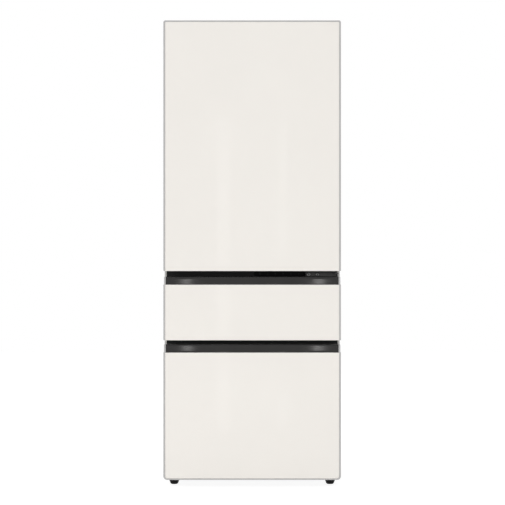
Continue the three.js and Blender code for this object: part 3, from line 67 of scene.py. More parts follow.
MM = 0.001
ORDER = {"x": [2, 0, 1], "y": [0, 2, 1], "z": [0, 1, 2]}
LEVELS = ("upper", "middle", "lower")
DRAWERS = ("middle", "lower")
FRONTS = {"upper": "upper_door", "middle": "middle_drawer", "lower": "lower_drawer"}
SIDES = (("left", -1), ("right", 1))
RAILS = ("upper_cross_rail", "lower_cross_rail")
SHELVES = ("glass_shelf_1", "glass_shelf_2")
BINS = ("door_bin_1", "door_bin_2")

# Steps, distances in millimetres and angles in degrees. FIT is the room round a piece in its pocket, and
# SCREW_RISE is how far in the sheets at the back lie, so that the heads of their screws stay inside the box.
RIM_STEPS = 4
FACE_STEPS = 16
BEVEL_STEPS = 2
SAME_PLACE = 0.002
SAME_PLACE_ON_NODE = 0.01
FLAT_ANGLE = 1.0
BEVEL_ANGLE = 35.0
SHARP_ANGLE = 38.0
FIT = 0.3
SCREW_RISE = 2.0


# ---------------------------------------------------------------- sizes and colours that a user may change


def length(name, description, default):
    """A size in metres, given in millimetres."""
    return FloatProperty(
        name=name, description=description, default=default * MM, min=0.0, unit="LENGTH", precision=4
    )


def colour(name, description, default):
    """A colour in linear light."""
    return FloatVectorProperty(
        name=name, description=description, default=default, size=3, min=0.0, max=1.0, subtype="COLOR"
    )


class RefrigeratorSizes(PropertyGroup):
    """Sizes of the fine shapes; the main sizes come from the frame."""

    glass_edge: length("Glass edge", "Radius of the polished edge of the front glass", 1.1)
    frame_edge: length("Frame edge", "Radius of the edges of the door and drawer frames", 0.8)
    seam: length("Seam", "Width of the seams between a frame and its end caps", 0.5)
    lip_radius: length("Handle lip", "Radius of the rolled edge of a handle strip", 1.0)
    case_bend: length("Case bend", "Outer radius of the bends in the case's sheet", 3.0)
    bead_depth: length("Bead depth", "Depth of the beads pressed into the back panel", 3.6)
    louvre_depth: length("Louvre depth", "How far the louvre blades reach inwards", 6.5)
    lining_fillet: length("Lining fillet", "Radius where the lining's walls meet", 12.0)
    dyke_draft: length("Dyke draft", "How much the raised rim of the door's lining narrows", 3.0)
    seal_pleat: length("Seal pleat", "Depth of the pleats of the seals", 3.0)
    bin_draft: length("Bin draft", "How much a door bin widens towards its rim", 2.0)
    container_draft: length("Container draft", "How much a container widens towards its rim", 3.0)
    screw_radius: length("Screw head", "Radius of the screw heads", 4.2)
    coil_fins: IntProperty(name="Coil fins", description="Fins on each coil", default=34, min=4, max=80)
    fan_blades: IntProperty(name="Fan blades", description="Blades on each fan", default=5, min=2, max=9)


class RefrigeratorColours(PropertyGroup):
    """Colours of the finishes."""

    cream: colour("Front glass", "Paint behind the front glass", (0.862, 0.830, 0.783))
    frame: colour("Frame", "Satin grey of the door and drawer frames", (0.478, 0.472, 0.469))
    handle: colour("Handle", "Dark anodised aluminium of the handle strips", (0.042, 0.041, 0.0405))
    case: colour("Case", "Satin paint of the case", (0.60, 0.592, 0.572))
    zinc: colour("Zinc", "Zinc coat on steel", (0.36, 0.368, 0.376))
    charcoal: colour("Charcoal", "Paint of the cross rails", (0.012, 0.012, 0.012))
    bracket: colour("Bracket", "Paint of the hinge bracket", (0.052, 0.051, 0.050))
    lining: colour("Lining", "Moulded linings", (0.84, 0.85, 0.85))
    seal: colour("Seal", "Soft seals", (0.42, 0.42, 0.43))
    basket: colour("Basket", "Moulded drawer baskets", (0.70, 0.71, 0.72))
    container: colour("Container", "Milky containers", (0.80, 0.82, 0.80))
    lid: colour("Lid", "Container lids", (0.22, 0.25, 0.27))
    aluminium: colour("Aluminium", "Bare aluminium", (0.68, 0.69, 0.70))
    copper: colour("Copper", "Refrigerant pipes", (0.72, 0.36, 0.21))
    foam: colour("Foam", "Insulation foam", (0.74, 0.62, 0.34))


class RefrigeratorStage(PropertyGroup):
    """Camera and light."""

    lens: FloatProperty(
        name="Lens", description="Focal length of the camera", default=133.14, min=1.0, unit="CAMERA"
    )
    eye: FloatVectorProperty(
        name="Camera place", description="Where the camera stands", default=(0.0013, -7.3685, 0.8797),
        size=3, subtype="TRANSLATION", unit="LENGTH",
    )
    room_light: FloatProperty(
        name="Room light", description="Even light from all round", default=0.549, min=0.0
    )
    lamp_level: FloatProperty(
        name="Lamp level", description="Share of the soft lamps' full power", default=0.50, min=0.0
    )
    floor_glow: FloatProperty(
        name="Floor white", description="Share of the floor that shows as plain white", default=0.7,
        min=0.0, max=1.0, subtype="FACTOR",
    )


def sizes():
    """The sizes in millimetres, by name."""
    group = bpy.context.scene.refrigerator_sizes
    whole = ("coil_fins", "fan_blades")
    return {
        name: getattr(group, name) if name in whole else getattr(group, name) / MM
        for name in RefrigeratorSizes.__annotations__
    }


# ---------------------------------------------------------------- surfaces
# A surface is a pair: its points, one row each in millimetres, and a list of index arrays, one row a face.


def span(node):
    """A node's extent along X, Y and Z in millimetres, as three pairs."""
    low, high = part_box(node)
    return np.array([low, high]).T / MM


def grown(pair, by):
    """A span made longer by as much at both ends, or shorter if that is less than zero."""
    return pair[0] - by, pair[1] + by


def around(middle, half):
    """The span that reaches as far to both sides of its middle."""
    return middle - half, middle + half


def outline(u, v, corner=0.0, inset=0.0, steps=6):
    """A rectangle with round corners.

    Each corner is a quarter circle: its centre plus the radius times the cosine and sine of an angle. They
    run lower right, upper right, upper left, lower left. An inset draws the outline in and shrinks each
    radius.
    """
    radius = np.maximum(np.broadcast_to(np.asarray(corner, float), 4) - inset, 0.0)
    right = np.array([1, 1, -1, -1])
    top = np.array([-1, 1, 1, -1])
    middle_u = np.where(right > 0, u[1] - inset, u[0] + inset) - right * radius
    middle_v = np.where(top > 0, v[1] - inset, v[0] + inset) - top * radius
    angle = np.radians([-90, 0, 90, 180])[:, None] + np.linspace(0, np.pi / 2, steps + 1)
    ring = np.stack([
        middle_u[:, None] + radius[:, None] * np.cos(angle),
        middle_v[:, None] + radius[:, None] * np.sin(angle),
    ], axis=-1)
    return ring.reshape(-1, 2)


def place(flat, w, axis):
    """Stands flat points (u, v) at w along an axis: X and Y and Z take (w, u, v), (u, w, v) and (u, v, w)."""
    w = np.broadcast_to(np.asarray(w, float), len(flat))
    return np.column_stack([flat, w])[:, ORDER[axis]]


def grid_faces(rows, columns, closed_rows=False, closed_columns=False):
    """The quads of a grid of points, from row r and column c to the next of each, round the end if closed."""
    r, c = np.meshgrid(
        np.arange(rows if closed_rows else rows - 1),
        np.arange(columns if closed_columns else columns - 1), indexing="ij",
    )
    r, c = r.ravel(), c.ravel()
    r1, c1 = (r + 1) % rows, (c + 1) % columns
    return np.stack([r, r, r1, r1], 1) * columns + np.stack([c, c1, c1, c], 1)


def loft(rings, closed=False, round_rings=True):
    """Rings of as many points each, joined one to the next; the ends are capped, or joined to each other."""
    rings = np.asarray(rings, float)
    rows, columns = rings.shape[:2]
    faces = [grid_faces(rows, columns, closed, round_rings)]
    if not closed:
        last = (rows - 1) * columns
        faces += [np.arange(columns)[None, ::-1], np.arange(last, last + columns)[None]]
    return rings.reshape(-1, 3), faces


def rounded_rims(w, edge):
    """Insets and depths of a plate's rims: at angle a, edge (1 - sin a) in and edge (1 - cos a) deep.

    One more ring on each face, a little further in, keeps the shading of the face flat.
    """
    a = np.linspace(0, np.pi / 2, RIM_STEPS + 1)
    low, high = np.broadcast_to(np.asarray(edge, float), 2)
    insets, depths = [], []
    for e, face, inward in ((low, w[0], 1), (high, w[1], -1)):
        if e > 0:
            further = 1.4 * e + 0.05
            rim = np.concatenate([[further], e * (1 - np.sin(a))])
            deep = np.concatenate([[face], face + inward * e * (1 - np.cos(a))])
        else:
            rim, deep = np.zeros(1), np.array([face])
        insets.append(rim[::inward])
        depths.append(deep[::inward])
    return np.concatenate(insets), np.concatenate(depths)


def slab(u, v, w, corner=0.0, edge=0.4, axis="y", steps=6):
    """A plate from w[0] to w[1] with round corners, whose two rims are rounded to the edge's radius."""
    insets, depths = rounded_rims(w, edge)
    return loft([place(outline(u, v, corner, i, steps), d, axis) for i, d in zip(insets, depths)])


def carry(profile, u, v, corner, axis="y", closed=True, steps=6):
    """A profile of [inset, depth] pairs carried round a rectangle: each pair is one ring of the surface."""
    rings = [place(outline(u, v, corner, i, steps), d, axis) for i, d in profile]
    return loft(rings, closed=closed)


def quadratic(start, control, end, t):
    """A quadratic curve: (1 - t) squared start plus 2 t (1 - t) control plus t squared end."""
    return (1 - t) ** 2 * start + 2 * t * (1 - t) * control + t**2 * end


def rounded(points, radii, steps=4, closed=True):
    """A polyline with rounded corners: each is the quadratic curve that starts and ends its radius away."""
    p = np.asarray(points, float)
    radius = np.broadcast_to(np.asarray(radii, float), len(p))[:, None]
    before, after = np.roll(p, 1, axis=0) - p, np.roll(p, -1, axis=0) - p
    start = p + before * radius / np.linalg.norm(before, axis=1, keepdims=True)
    end = p + after * radius / np.linalg.norm(after, axis=1, keepdims=True)
    if not closed:
        start[[0, -1]] = end[[0, -1]] = p[[0, -1]]
    t = np.linspace(0, 1, steps + 1)[None, :, None]
    return quadratic(start[:, None], p[:, None], end[:, None], t).reshape(-1, p.shape[1])


def prism(flat, w, axis="x"):
    """An outline carried straight from w[0] to w[1] along an axis."""
    return loft([place(flat, w[0], axis), place(flat, w[1], axis)])


def turned(profile, centre=(0, 0, 0), axis="z", sides=32, ripple=0.0, closed=False):
    """A profile of [radius, height] turned about an axis; a ripple waves its radius by ripple cos 32 a.

    A closed profile is a ring, and keeps its bore.
    """
    radius, height = np.asarray(profile, float).T
    a = np.linspace(0, 2 * np.pi, sides, endpoint=False)
    wave = radius[:, None] + ripple * np.cos(32 * a) * (radius[:, None] > 0)
    u, v = wave * np.cos(a), wave * np.sin(a)
    w = np.broadcast_to(height[:, None], u.shape)
    return loft(np.stack([u, v, w], axis=-1)[..., ORDER[axis]] + np.asarray(centre, float), closed)


def tube(path, radius, sides=12):
    """A round tube: at each point of the path a circle stands square to the path's direction there."""
    shortest, aside = 1e-6, (0.36, 0.48, 0.80)  # no tube runs aside
    path = np.asarray(path, float)
    moved = np.linalg.norm(np.diff(path, axis=0), axis=1) > shortest
    path = path[np.concatenate([[True], moved])]
    step = np.gradient(path, axis=0)
    step /= np.linalg.norm(step, axis=1, keepdims=True)
    across = np.cross(step, aside)
    across /= np.linalg.norm(across, axis=1, keepdims=True)
    up = np.cross(across, step)
    a = np.linspace(0, 2 * np.pi, sides, endpoint=False)[None, :, None]
    return loft(path[:, None] + radius * (np.cos(a) * across[:, None] + np.sin(a) * up[:, None]))


def sheet(face, back):
    """A thin body between two grids of points, closed by a rim round their common border."""
    rows, columns = face.shape[:2]
    index = np.arange(rows * columns).reshape(rows, columns)
    rim = np.concatenate([index[:, 0], index[-1, 1:], index[-2::-1, -1], index[0, -2:0:-1]])
    after = np.roll(rim, -1)
    quads = grid_faces(rows, columns)
    side = np.stack([rim, after, after + index.size, rim + index.size], 1)
    points = np.concatenate([face.reshape(-1, 3), back.reshape(-1, 3)])
    return points, [quads, quads[:, ::-1] + index.size, side]


def relief(u, v, height, thickness):
    """An upright sheet over the lines u and v: its face at height(u, v), its back the thickness below."""
    across, along = np.meshgrid(u, v, indexing="ij")
    face = np.stack([across, height(across, along), along], axis=-1)
    return sheet(face, face - np.array([0, thickness, 0]))


def blocks(low, high):
    """Plain boxes between rows of lowest and highest corners."""
    low, high = np.atleast_2d(low), np.atleast_2d(high)
    pick = np.array([[0, 0, 0], [1, 0, 0], [1, 1, 0], [0, 1, 0], [0, 0, 1], [1, 0, 1], [1, 1, 1], [0, 1, 1]])
    points = np.where(pick[None], high[:, None], low[:, None]).reshape(-1, 3)
    quads = np.array([[0, 3, 2, 1], [4, 5, 6, 7], [0, 1, 5, 4], [1, 2, 6, 5], [2, 3, 7, 6], [3, 0, 4, 7]])
    faces = quads[None] + 8 * np.arange(len(low))[:, None, None]
    return points, [faces.reshape(-1, 4)]


def merge(*surfaces):
    """Several surfaces as one."""
    points, faces, start = [], [], 0
    for p, f in surfaces:
        points.append(p)
        faces += [a + start for a in f]
        start += len(p)
    return np.concatenate(points), faces


def smooth_step(x):
    """3 x squared less 2 x cubed, with x held between 0 and 1."""
    x = np.clip(x, 0.0, 1.0)
    return x * x * (3 - 2 * x)


def screws(places, axis, facing, radius):
    """Pan-head screws with a cross recess, at the given points, facing one way along an axis.

    Over a polar grid the height is a flattened dome less a cross, whose depth falls off with the distance to
    the nearer of two lines square to each other and with the radius.
    """
    rise, recess, arm, reach, fade, skirt = 0.42, 0.3, 0.13, 0.42, 0.2, 0.8
    r = np.array([0.0, 0.14, 0.28, 0.42, 0.56, 0.7, 0.84, 0.95, 1.0])[:, None]
    a = np.linspace(0, 2 * np.pi, 24, endpoint=False)[None]
    u, v = r * np.cos(a), r * np.sin(a)
    nearer = np.minimum(np.abs(u), np.abs(v))
    cross = np.exp(-((nearer / arm) ** 4)) * (1 - smooth_step((r - reach) / fade))
    dome = rise * np.sqrt(np.maximum(1 - r**2.6, 0)) * radius - recess * radius * cross
    head = np.stack([u * radius, v * radius, facing * dome], axis=-1)
    foot = head[-1:] - np.array([0, 0, facing * skirt])
    rings = np.concatenate([head, foot])[..., ORDER[axis]]
    return merge(*(loft(rings + np.asarray(p, float)) for p in places))


# ---------------------------------------------------------------- pieces


def tidy_mesh(mesh):
    """Merges doubled points, turns the faces outwards and shades smooth but for the sharp edges."""
    work = bmesh.new()
    work.from_mesh(mesh)
    bmesh.ops.remove_doubles(work, verts=work.verts, dist=SAME_PLACE * MM)
    bmesh.ops.recalc_face_normals(work, faces=work.faces)
    work.to_mesh(mesh)
    work.free()
    mesh.shade_smooth()
    mesh.set_sharp_from_angle(angle=math.radians(SHARP_ANGLE))


def mesh_object(name, surface):
    """An object whose mesh is the surface, in metres."""
    points, faces = surface
    mesh = bpy.data.meshes.new(name)
    mesh.from_pydata((points * MM).tolist(), [], [f for a in faces for f in a.tolist()])
    tidy_mesh(mesh)
    made = bpy.data.objects.new(name, mesh)
    bpy.context.scene.collection.objects.link(made)
    return made


def evaluated_mesh(made):
    """The object's mesh with its modifiers applied."""
    bpy.context.view_layer.update()
    return bpy.data.meshes.new_from_object(made.evaluated_get(bpy.context.evaluated_depsgraph_get()))


def cut(made, *cutters):
    """Takes the cutters' solids out of a piece and keeps the result as its mesh."""
    tool = mesh_object("cutter", merge(*cutters))
    boolean = made.modifiers.new("cut", "BOOLEAN")
    boolean.operation = "DIFFERENCE"
    boolean.solver = "EXACT"
    boolean.use_self = len(cutters) > 1
    boolean.object = tool
    result = evaluated_mesh(made)
    made.modifiers.remove(boolean)
    old, made.data = made.data, result
    result.name = made.name
    bpy.data.meshes.remove(old)
    tool_mesh = tool.data
    bpy.data.objects.remove(tool)
    bpy.data.meshes.remove(tool_mesh)
    tidy_mesh(result)
    return made


def bevel(made, width, angle=BEVEL_ANGLE):
    """Rounds the edges that are sharper than an angle."""
    rounding = made.modifiers.new("edges", "BEVEL")
    rounding.width = width * MM
    rounding.segments = BEVEL_STEPS
    rounding.limit_method = "ANGLE"
    rounding.angle_limit = math.radians(angle)
    rounding.harden_normals = True
    return made


def dress(made, body, slot, finish=None, nodes=()):
    """Gives a piece its finish, named after its slot where no finish is given, hangs it on its body and lets
    it stand for its nodes.
    """
    made.data.materials.clear()
    made.data.materials.append(finish_of(finish or slot))
    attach(made, body)
    if nodes:
        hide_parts(*nodes)
    return made


def add(name, surface, body, slot, finish=None, nodes=(), cutters=(), edge=0.0):
    """A whole piece: its surface, what is cut out of it, its rounded edges, its finish and its body."""
    made = mesh_object(name, surface)
    if cutters:
        cut(made, *cutters)
    if edge:
        bevel(made, edge)
    return dress(made, body, slot, finish, nodes)


def softened(node, body, slot, width, finish=None, move=None):
    """A copy of a node with its triangles merged, its flat faces dissolved and its edges rounded.

    A move, (axis, beyond, by), shifts the points whose place along the axis is beyond a limit.
    """
    made = bpy.data.objects.new(node + "_soft", frame["nodes"][node].data.copy())
    bpy.context.scene.collection.objects.link(made)
    if move:
        axis, beyond, by = move
        points = np.empty(len(made.data.vertices) * 3)
        made.data.vertices.foreach_get("co", points)
        points[axis::3] += by * MM * (points[axis::3] > beyond * MM)
        made.data.vertices.foreach_set("co", points)
    work = bmesh.new()
    work.from_mesh(made.data)
    bmesh.ops.remove_doubles(work, verts=work.verts, dist=SAME_PLACE_ON_NODE * MM)
    bmesh.ops.dissolve_limit(
        work, angle_limit=math.radians(FLAT_ANGLE), verts=work.verts, edges=work.edges
    )
    work.to_mesh(made.data)
    work.free()
    tidy_mesh(made.data)
    if width:
        bevel(made, width)
    return dress(made, body, slot, finish, [node])


# ---------------------------------------------------------------- finishes
# Each finish has a colour, a roughness, a grain, a mottle (its size in millimetres and how much it varies the
# colour) and, where it needs them, metal, a pattern and other values of the shader.


def grain(size, depth, spread, draw=(1, 1, 1)):
    """A grain: its size and depth in millimetres, how much it varies the roughness, and its stretch.

    The stretch is a scale along each axis: less than 1 draws the grain out along it.
    """
    return dict(size=size, depth=depth, spread=spread, draw=draw)


def recipes():
    """What each finish is made of."""
    c = bpy.context.scene.refrigerator_colours
    peel, moulded, fine = grain(2.6, 0.006, 0.05), grain(0.45, 0.012, 0.06), grain(1.6, 0.003, 0.03)
    return {
        "cream_glass": dict(
            colour=c.cream, roughness=0.32, grain=grain(40, 0.0, 0.03), mottle=(220, 0.006),
            sockets={"Coat Weight": 1.0, "Coat Roughness": 0.015, "Coat IOR": 1.5, "Specular IOR Level": 0.2},
        ),
        "grey_frame": dict(colour=c.frame, roughness=0.42, metal=0.25, grain=peel, mottle=(160, 0.02)),
        "dark_aluminium": dict(
            colour=c.handle, roughness=0.055, metal=1.0, grain=grain(0.5, 0.008, 0.01, (0.01, 1, 1)),
            mottle=(60, 0.06),
        ),
        "case_paint": dict(
            colour=c.case, roughness=0.45, grain=peel, mottle=(300, 0.02),
            sockets={"Specular IOR Level": 0.25},
        ),
        "zinc_steel": dict(
            colour=c.zinc, roughness=0.42, metal=0.85, pattern="spangle", grain=grain(11, 0.004, 0.16),
            mottle=(18, 0.06),
        ),
        "dark_paint": dict(
            colour=c.charcoal, roughness=0.55, grain=peel, mottle=(90, 0.08),
            sockets={"Specular IOR Level": 0.25},
        ),
        "bracket_paint": dict(colour=c.bracket, roughness=0.42, metal=0.3, grain=peel, mottle=(30, 0.10)),
        "black_paint": dict(
            colour=(0.010, 0.010, 0.011), roughness=0.34, grain=peel, mottle=(60, 0.15),
            sockets={"Coat Weight": 0.3, "Coat Roughness": 0.2},
        ),
        "black_gloss": dict(
            colour=(0.0015, 0.0015, 0.0018), roughness=0.06, grain=fine, mottle=(60, 0.10),
            sockets={"Specular IOR Level": 0.04},
        ),
        "display_mark": dict(colour=(0.035, 0.036, 0.038), roughness=0.4, grain=fine, mottle=(20, 0.05)),
        "black_plastic": dict(colour=(0.013, 0.013, 0.014), roughness=0.55, grain=moulded, mottle=(40, 0.12)),
        # The feet's black plastic, made darker and less shiny than the other black plastic: painted shade for
        # the shade under the drawer front.
        "foot_plastic": dict(
            colour=(0.005, 0.005, 0.005), roughness=0.6, grain=moulded, mottle=(40, 0.12),
            sockets={"Specular IOR Level": 0.12},
        ),
        "white_lining": dict(
            colour=c.lining, roughness=0.28, grain=fine, mottle=(260, 0.015),
            sockets={"Coat Weight": 0.2, "Coat Roughness": 0.1},
        ),
        "grey_seal": dict(
            colour=c.seal, roughness=0.72, grain=moulded, mottle=(50, 0.05), sockets={"Sheen Weight": 0.15}
        ),
        "shelf_glass": dict(
            colour=(0.90, 0.97, 0.95), roughness=0.0, grain=grain(80, 0.0, 0.01), mottle=(300, 0.01),
            sockets={"Transmission Weight": 1.0, "IOR": 1.5},
        ),
        "clear_plastic": dict(
            colour=(0.95, 0.97, 0.98), roughness=0.05, grain=grain(60, 0.0, 0.03), mottle=(200, 0.01),
            sockets={"Transmission Weight": 0.94, "IOR": 1.35},
        ),
        "lamp_diffuser": dict(
            colour=(0.95, 0.95, 0.92), roughness=0.35, grain=fine, mottle=(40, 0.01),
            sockets={"Emission Color": (1.0, 0.97, 0.9, 1.0), "Emission Strength": 1.6},
        ),
        "bright_aluminium": dict(
            colour=c.aluminium, roughness=0.32, metal=0.95, grain=grain(0.5, 0.003, 0.12, (1, 1, 0.02)),
            mottle=(80, 0.04),
        ),
        "basket_plastic": dict(colour=c.basket, roughness=0.36, grain=fine, mottle=(150, 0.02)),
        "container_plastic": dict(
            colour=c.container, roughness=0.34, grain=moulded, mottle=(70, 0.02),
            sockets={"Transmission Weight": 0.30, "IOR": 1.45},
        ),
        "lid_plastic": dict(colour=c.lid, roughness=0.45, grain=moulded, mottle=(60, 0.05)),
        "foam": dict(
            colour=c.foam, roughness=0.9, pattern="spangle", grain=grain(2.2, 0.25, 0.05), mottle=(40, 0.12)
        ),
        "copper": dict(colour=c.copper, roughness=0.28, metal=1.0, grain=fine, mottle=(25, 0.18)),
        "screw_steel": dict(
            colour=(0.58, 0.58, 0.58), roughness=0.30, metal=1.0, grain=fine, mottle=(5, 0.15)
        ),
        "rolled_steel": dict(
            colour=(0.46, 0.465, 0.47), roughness=0.36, metal=0.9,
            grain=grain(0.8, 0.002, 0.08, (1, 0.03, 1)), mottle=(90, 0.03),
        ),
        "soft_white": dict(colour=(0.80, 0.81, 0.81), roughness=0.5, grain=moulded, mottle=(60, 0.02)),
    }


def add_node(tree, kind, operation=None, **values):
    """A new node of a shader, with inputs set by name; an underscore stands for a space."""
    made = tree.nodes.new("ShaderNode" + kind)
    if operation:
        made.operation = operation
    for name, value in values.items():
        made.inputs[name.replace("_", " ")].default_value = value
    return made


def finish_of(name):
    """The material of that name, made from its recipe the first time it is asked for."""
    if name in bpy.data.materials and bpy.data.materials[name].get("made_here"):
        return bpy.data.materials[name]
    recipe = recipes()[name]
    made = bpy.data.materials.new(name)
    made["made_here"] = True
    made.use_nodes = True
    tree = made.node_tree
    link = tree.links.new
    shader = tree.nodes["Principled BSDF"]
    base = tuple(recipe["colour"][:3])
    made.diffuse_color = (*base, 1.0)
    shader.inputs["Metallic"].default_value = recipe.get("metal", 0.0)
    for socket, value in recipe.get("sockets", {}).items():
        shader.inputs[socket].default_value = value
    grit = recipe["grain"]
    where = add_node(tree, "TexCoord")
    drawn = add_node(tree, "Mapping", Scale=grit["draw"])
    link(where.outputs["Object"], drawn.inputs["Vector"])
    texture, value = grain_texture(tree, recipe.get("pattern"), grit["size"])
    link(drawn.outputs["Vector"], texture.inputs["Vector"])
    smoothest, roughest = around(recipe["roughness"], grit["spread"])
    rough = add_node(tree, "MapRange", To_Min=max(smoothest, 0.0), To_Max=roughest)
    link(texture.outputs[value], rough.inputs["Value"])
    link(rough.outputs["Result"], shader.inputs["Roughness"])
    if grit["depth"] > 0:
        bump = add_node(tree, "Bump", Strength=1.0, Distance=grit["depth"] * MM)
        link(texture.outputs[value], bump.inputs["Height"])
        link(bump.outputs["Normal"], shader.inputs["Normal"])
    size, share = recipe["mottle"]
    cloud = add_node(tree, "TexNoise", Scale=1.0 / (size * MM), Detail=3.0)
    link(where.outputs["Object"], cloud.inputs["Vector"])
    tint = add_node(tree, "ValToRGB")
    darker, lighter = tint.color_ramp.elements
    darker.position, lighter.position = 0.3, 0.7
    darker.color = (*(v * (1 - share) for v in base), 1.0)
    lighter.color = (*(min(v * (1 + share), 1.0) for v in base), 1.0)
    link(cloud.outputs["Fac"], tint.inputs["Fac"])
    link(tint.outputs["Color"], shader.inputs["Base Color"])
    return made


def grain_texture(tree, pattern, size):
    """A texture node and the name of its value: crystal cells for zinc and foam, and otherwise noise."""
    if pattern == "spangle":
        cells = add_node(tree, "TexVoronoi", Scale=1.0 / (size * MM))
        cells.feature = "F1"
        return cells, "Distance"
    return add_node(tree, "TexNoise", Scale=1.0 / (size * MM), Detail=4.0), "Fac"


# ---------------------------------------------------------------- fronts


class REFRIGERATOR_OT_front_glass(Operator):
    """Back-painted glass on the door and on both drawers"""

    bl_idname = "refrigerator.front_glass"
    bl_label = "Front glass"

    def execute(self, context):
        edge = sizes()["glass_edge"]
        corners = {"upper": (1.5, 3, 3, 1.5), "middle": 1.5, "lower": (9, 1.5, 1.5, 9)}
        for level in LEVELS:
            x, y, z = glass_span(level)
            surface = slab(x, z, y, corners[level], (edge, 0.5))
            add(level + "_glass", surface, FRONTS[level], "cream_glass", nodes=[level + "_panel"])
        return {"FINISHED"}


def seam_cutter(x, y, z, width):
    """A narrow groove round a front at one height: a small square carried round its plan."""
    low, high = around(z, width / 2)
    return carry([(-1, low), (width, low), (width, high), (-1, high)], x, y, 0.8, axis="z")


class REFRIGERATOR_OT_door_frame(Operator):
    """Satin frame of the upper door, with its finger recess, hinge notch, bores and end-cap seams"""

    bl_idname = "refrigerator.door_frame"
    bl_label = "Door frame"

    def execute(self, context):
        s = sizes()
        x, y, z = span("upper_door_frame")
        glass_x, glass_y, glass_z = glass_span("upper")
        z[0] += FRONT_RAISE["upper"]
        pin = frame_joint("upper_door_hinge")
        hinge_leaf, play = 4, 3
        notch_floor = span("top_hinge")[2][1] - hinge_leaf - play
        body = slab(x, z, y, (3, 8, 8, 3), s["frame_edge"])
        pocket = slab(
            grown(glass_x, FIT), (z[0] - 2, glass_z[1] + FIT), (y[0] - 2, glass_y[1] + FIT), (0, 3, 3, 0), 0
        )
        recess = slab(
            (x[0] + 30, x[1] - 60), (y[0] + 11.6, y[0] + 39.6), (z[0] - 6, z[0] + 18), 6, (0, 5), "z"
        )
        notch = slab(
            (pin[0] - 12.5, x[1] + 4), (pin[1] - 26, y[1] + 4), (notch_floor, z[1] + 4), (0, 0, 0, 3), 0, "z"
        )
        bore, deep = 5.6, 28
        bores = [
            turned([(bore, low), (bore, high)], (pin[0], pin[1], 0), sides=24)
            for low, high in ((z[0] - 1, z[0] + deep), (notch_floor - deep, notch_floor + 1))
        ]
        made = add(
            "upper_frame", body, "upper_door", "grey_frame", nodes=["upper_door_frame"],
            cutters=[pocket, recess, notch, *bores],
        )
        cut(made, *(seam_cutter(x, y, height, s["seam"]) for height in (z[0] + 34, z[1] - 22)))
        bevel(made, 0.35)
        return {"FINISHED"}


def frame_joint(name):
    """A joint's place in millimetres."""
    return next(np.array(j["pos_m"]) / MM for j in frame["joints"] if j["name"] == name)


# A handle strip: how far behind the front of the glass its face starts, how far it leans back, how thick it
# is, its lip, and its turning point as shares of the lean and the height.
HANDLE_FACE = 1.5
HANDLE_LEAN = 11.5
HANDLE_SKIN = 4.0
HANDLE_LIP = 2.5
HANDLE_TURN = (0.24, 0.47)

# How far each glass is drawn in at its sides and at its top, and how much higher each front begins.
GLASS_NARROW = 1.5
GLASS_SHORT = {"upper": 0.5, "middle": 1.6, "lower": 1.6}
FRONT_RAISE = {"upper": 0.2, "middle": 1.0, "lower": 0.0}


def glass_span(level):
    """The glass of a front: its node, drawn in at its sides, its top and its foot so that the frame shows."""
    x, y, z = span(level + "_panel")
    return np.array([grown(x, -GLASS_NARROW), y, (z[0] + FRONT_RAISE[level], z[1] - GLASS_SHORT[level])])


def handle_face(y, z, height, back=0.0):
    """The strip's face from its foot to its lip: a quadratic curve that leans back more the higher it is."""
    foot = (y + HANDLE_FACE + back, z)
    turn = (foot[0] + HANDLE_TURN[0] * HANDLE_LEAN, z + HANDLE_TURN[1] * height)
    lip = (y + HANDLE_FACE + HANDLE_LEAN + back, z + height)
    t = np.linspace(0, 1, FACE_STEPS + 1)[:, None]
    return quadratic(*np.array([foot, turn, lip]), t)


class REFRIGERATOR_OT_drawer_frames(Operator):
    """Satin frames of the two drawer fronts, with cheeks beside the handle, and the plates behind them"""

    bl_idname = "refrigerator.drawer_frames"
    bl_label = "Drawer frames"

    def execute(self, context):
        s = sizes()
        for level in DRAWERS:
            x, y, z = span(level + "_front_frame")
            glass_x, glass_y, glass_z = glass_span(level)
            z[0] += FRONT_RAISE[level]
            handle = span(level + "_handle")
            front, foot = glass_y[0], glass_z[1]
            split = y[1] - 2.5
            low_corner, pocket_corner, pocket_low = 3, 0, z[0] - 2
            if level == "lower":
                low_corner, pocket_corner, pocket_low = 14, (9, 0, 0, 9), glass_z[0] - FIT
            body = slab(x, z, (y[0], split - 0.2), (low_corner, 2, 2, low_corner), (s["frame_edge"], 0.4))
            pocket = slab(
                grown(glass_x, FIT), (pocket_low, foot + FIT), (y[0] - 2, glass_y[1] + FIT), pocket_corner, 0
            )
            trough = blocks(
                (handle[0][0] - FIT, y[0] - 2, foot), (handle[0][1] + FIT, handle[1][1] + FIT, z[1] + 2)
            )
            lean = handle_face(front, foot, z[1] - foot, back=0.7)
            lean = np.concatenate([lean, [lean[-1] + (2.8, 2.0), (front - 2, z[1] + 2), (front - 2, foot)]])
            shoulders = blocks(
                [(x[0] - 5, y[0] - 5, foot), (x[1] - 2, y[0] - 5, foot)],
                [(x[0] + 2, y[1] + 5, z[1] + 5), (x[1] + 5, y[1] + 5, z[1] + 5)],
            )
            nodes, drawer = [level + "_front_frame"], level + "_drawer"
            made = add(level + "_frame", body, drawer, "grey_frame", nodes=nodes, cutters=[pocket])
            for cutter in (trough, prism(lean, grown(x, 5)), shoulders):
                cut(made, cutter)
            bevel(made, 0.4)
            plate = slab(grown(x, -3), (z[0] + 3, z[1] - 1.5), (split, y[1]), 4, (0.3, 0.8))
            add(level + "_back_plate", plate, drawer, "white_lining", nodes=nodes)
        return {"FINISHED"}


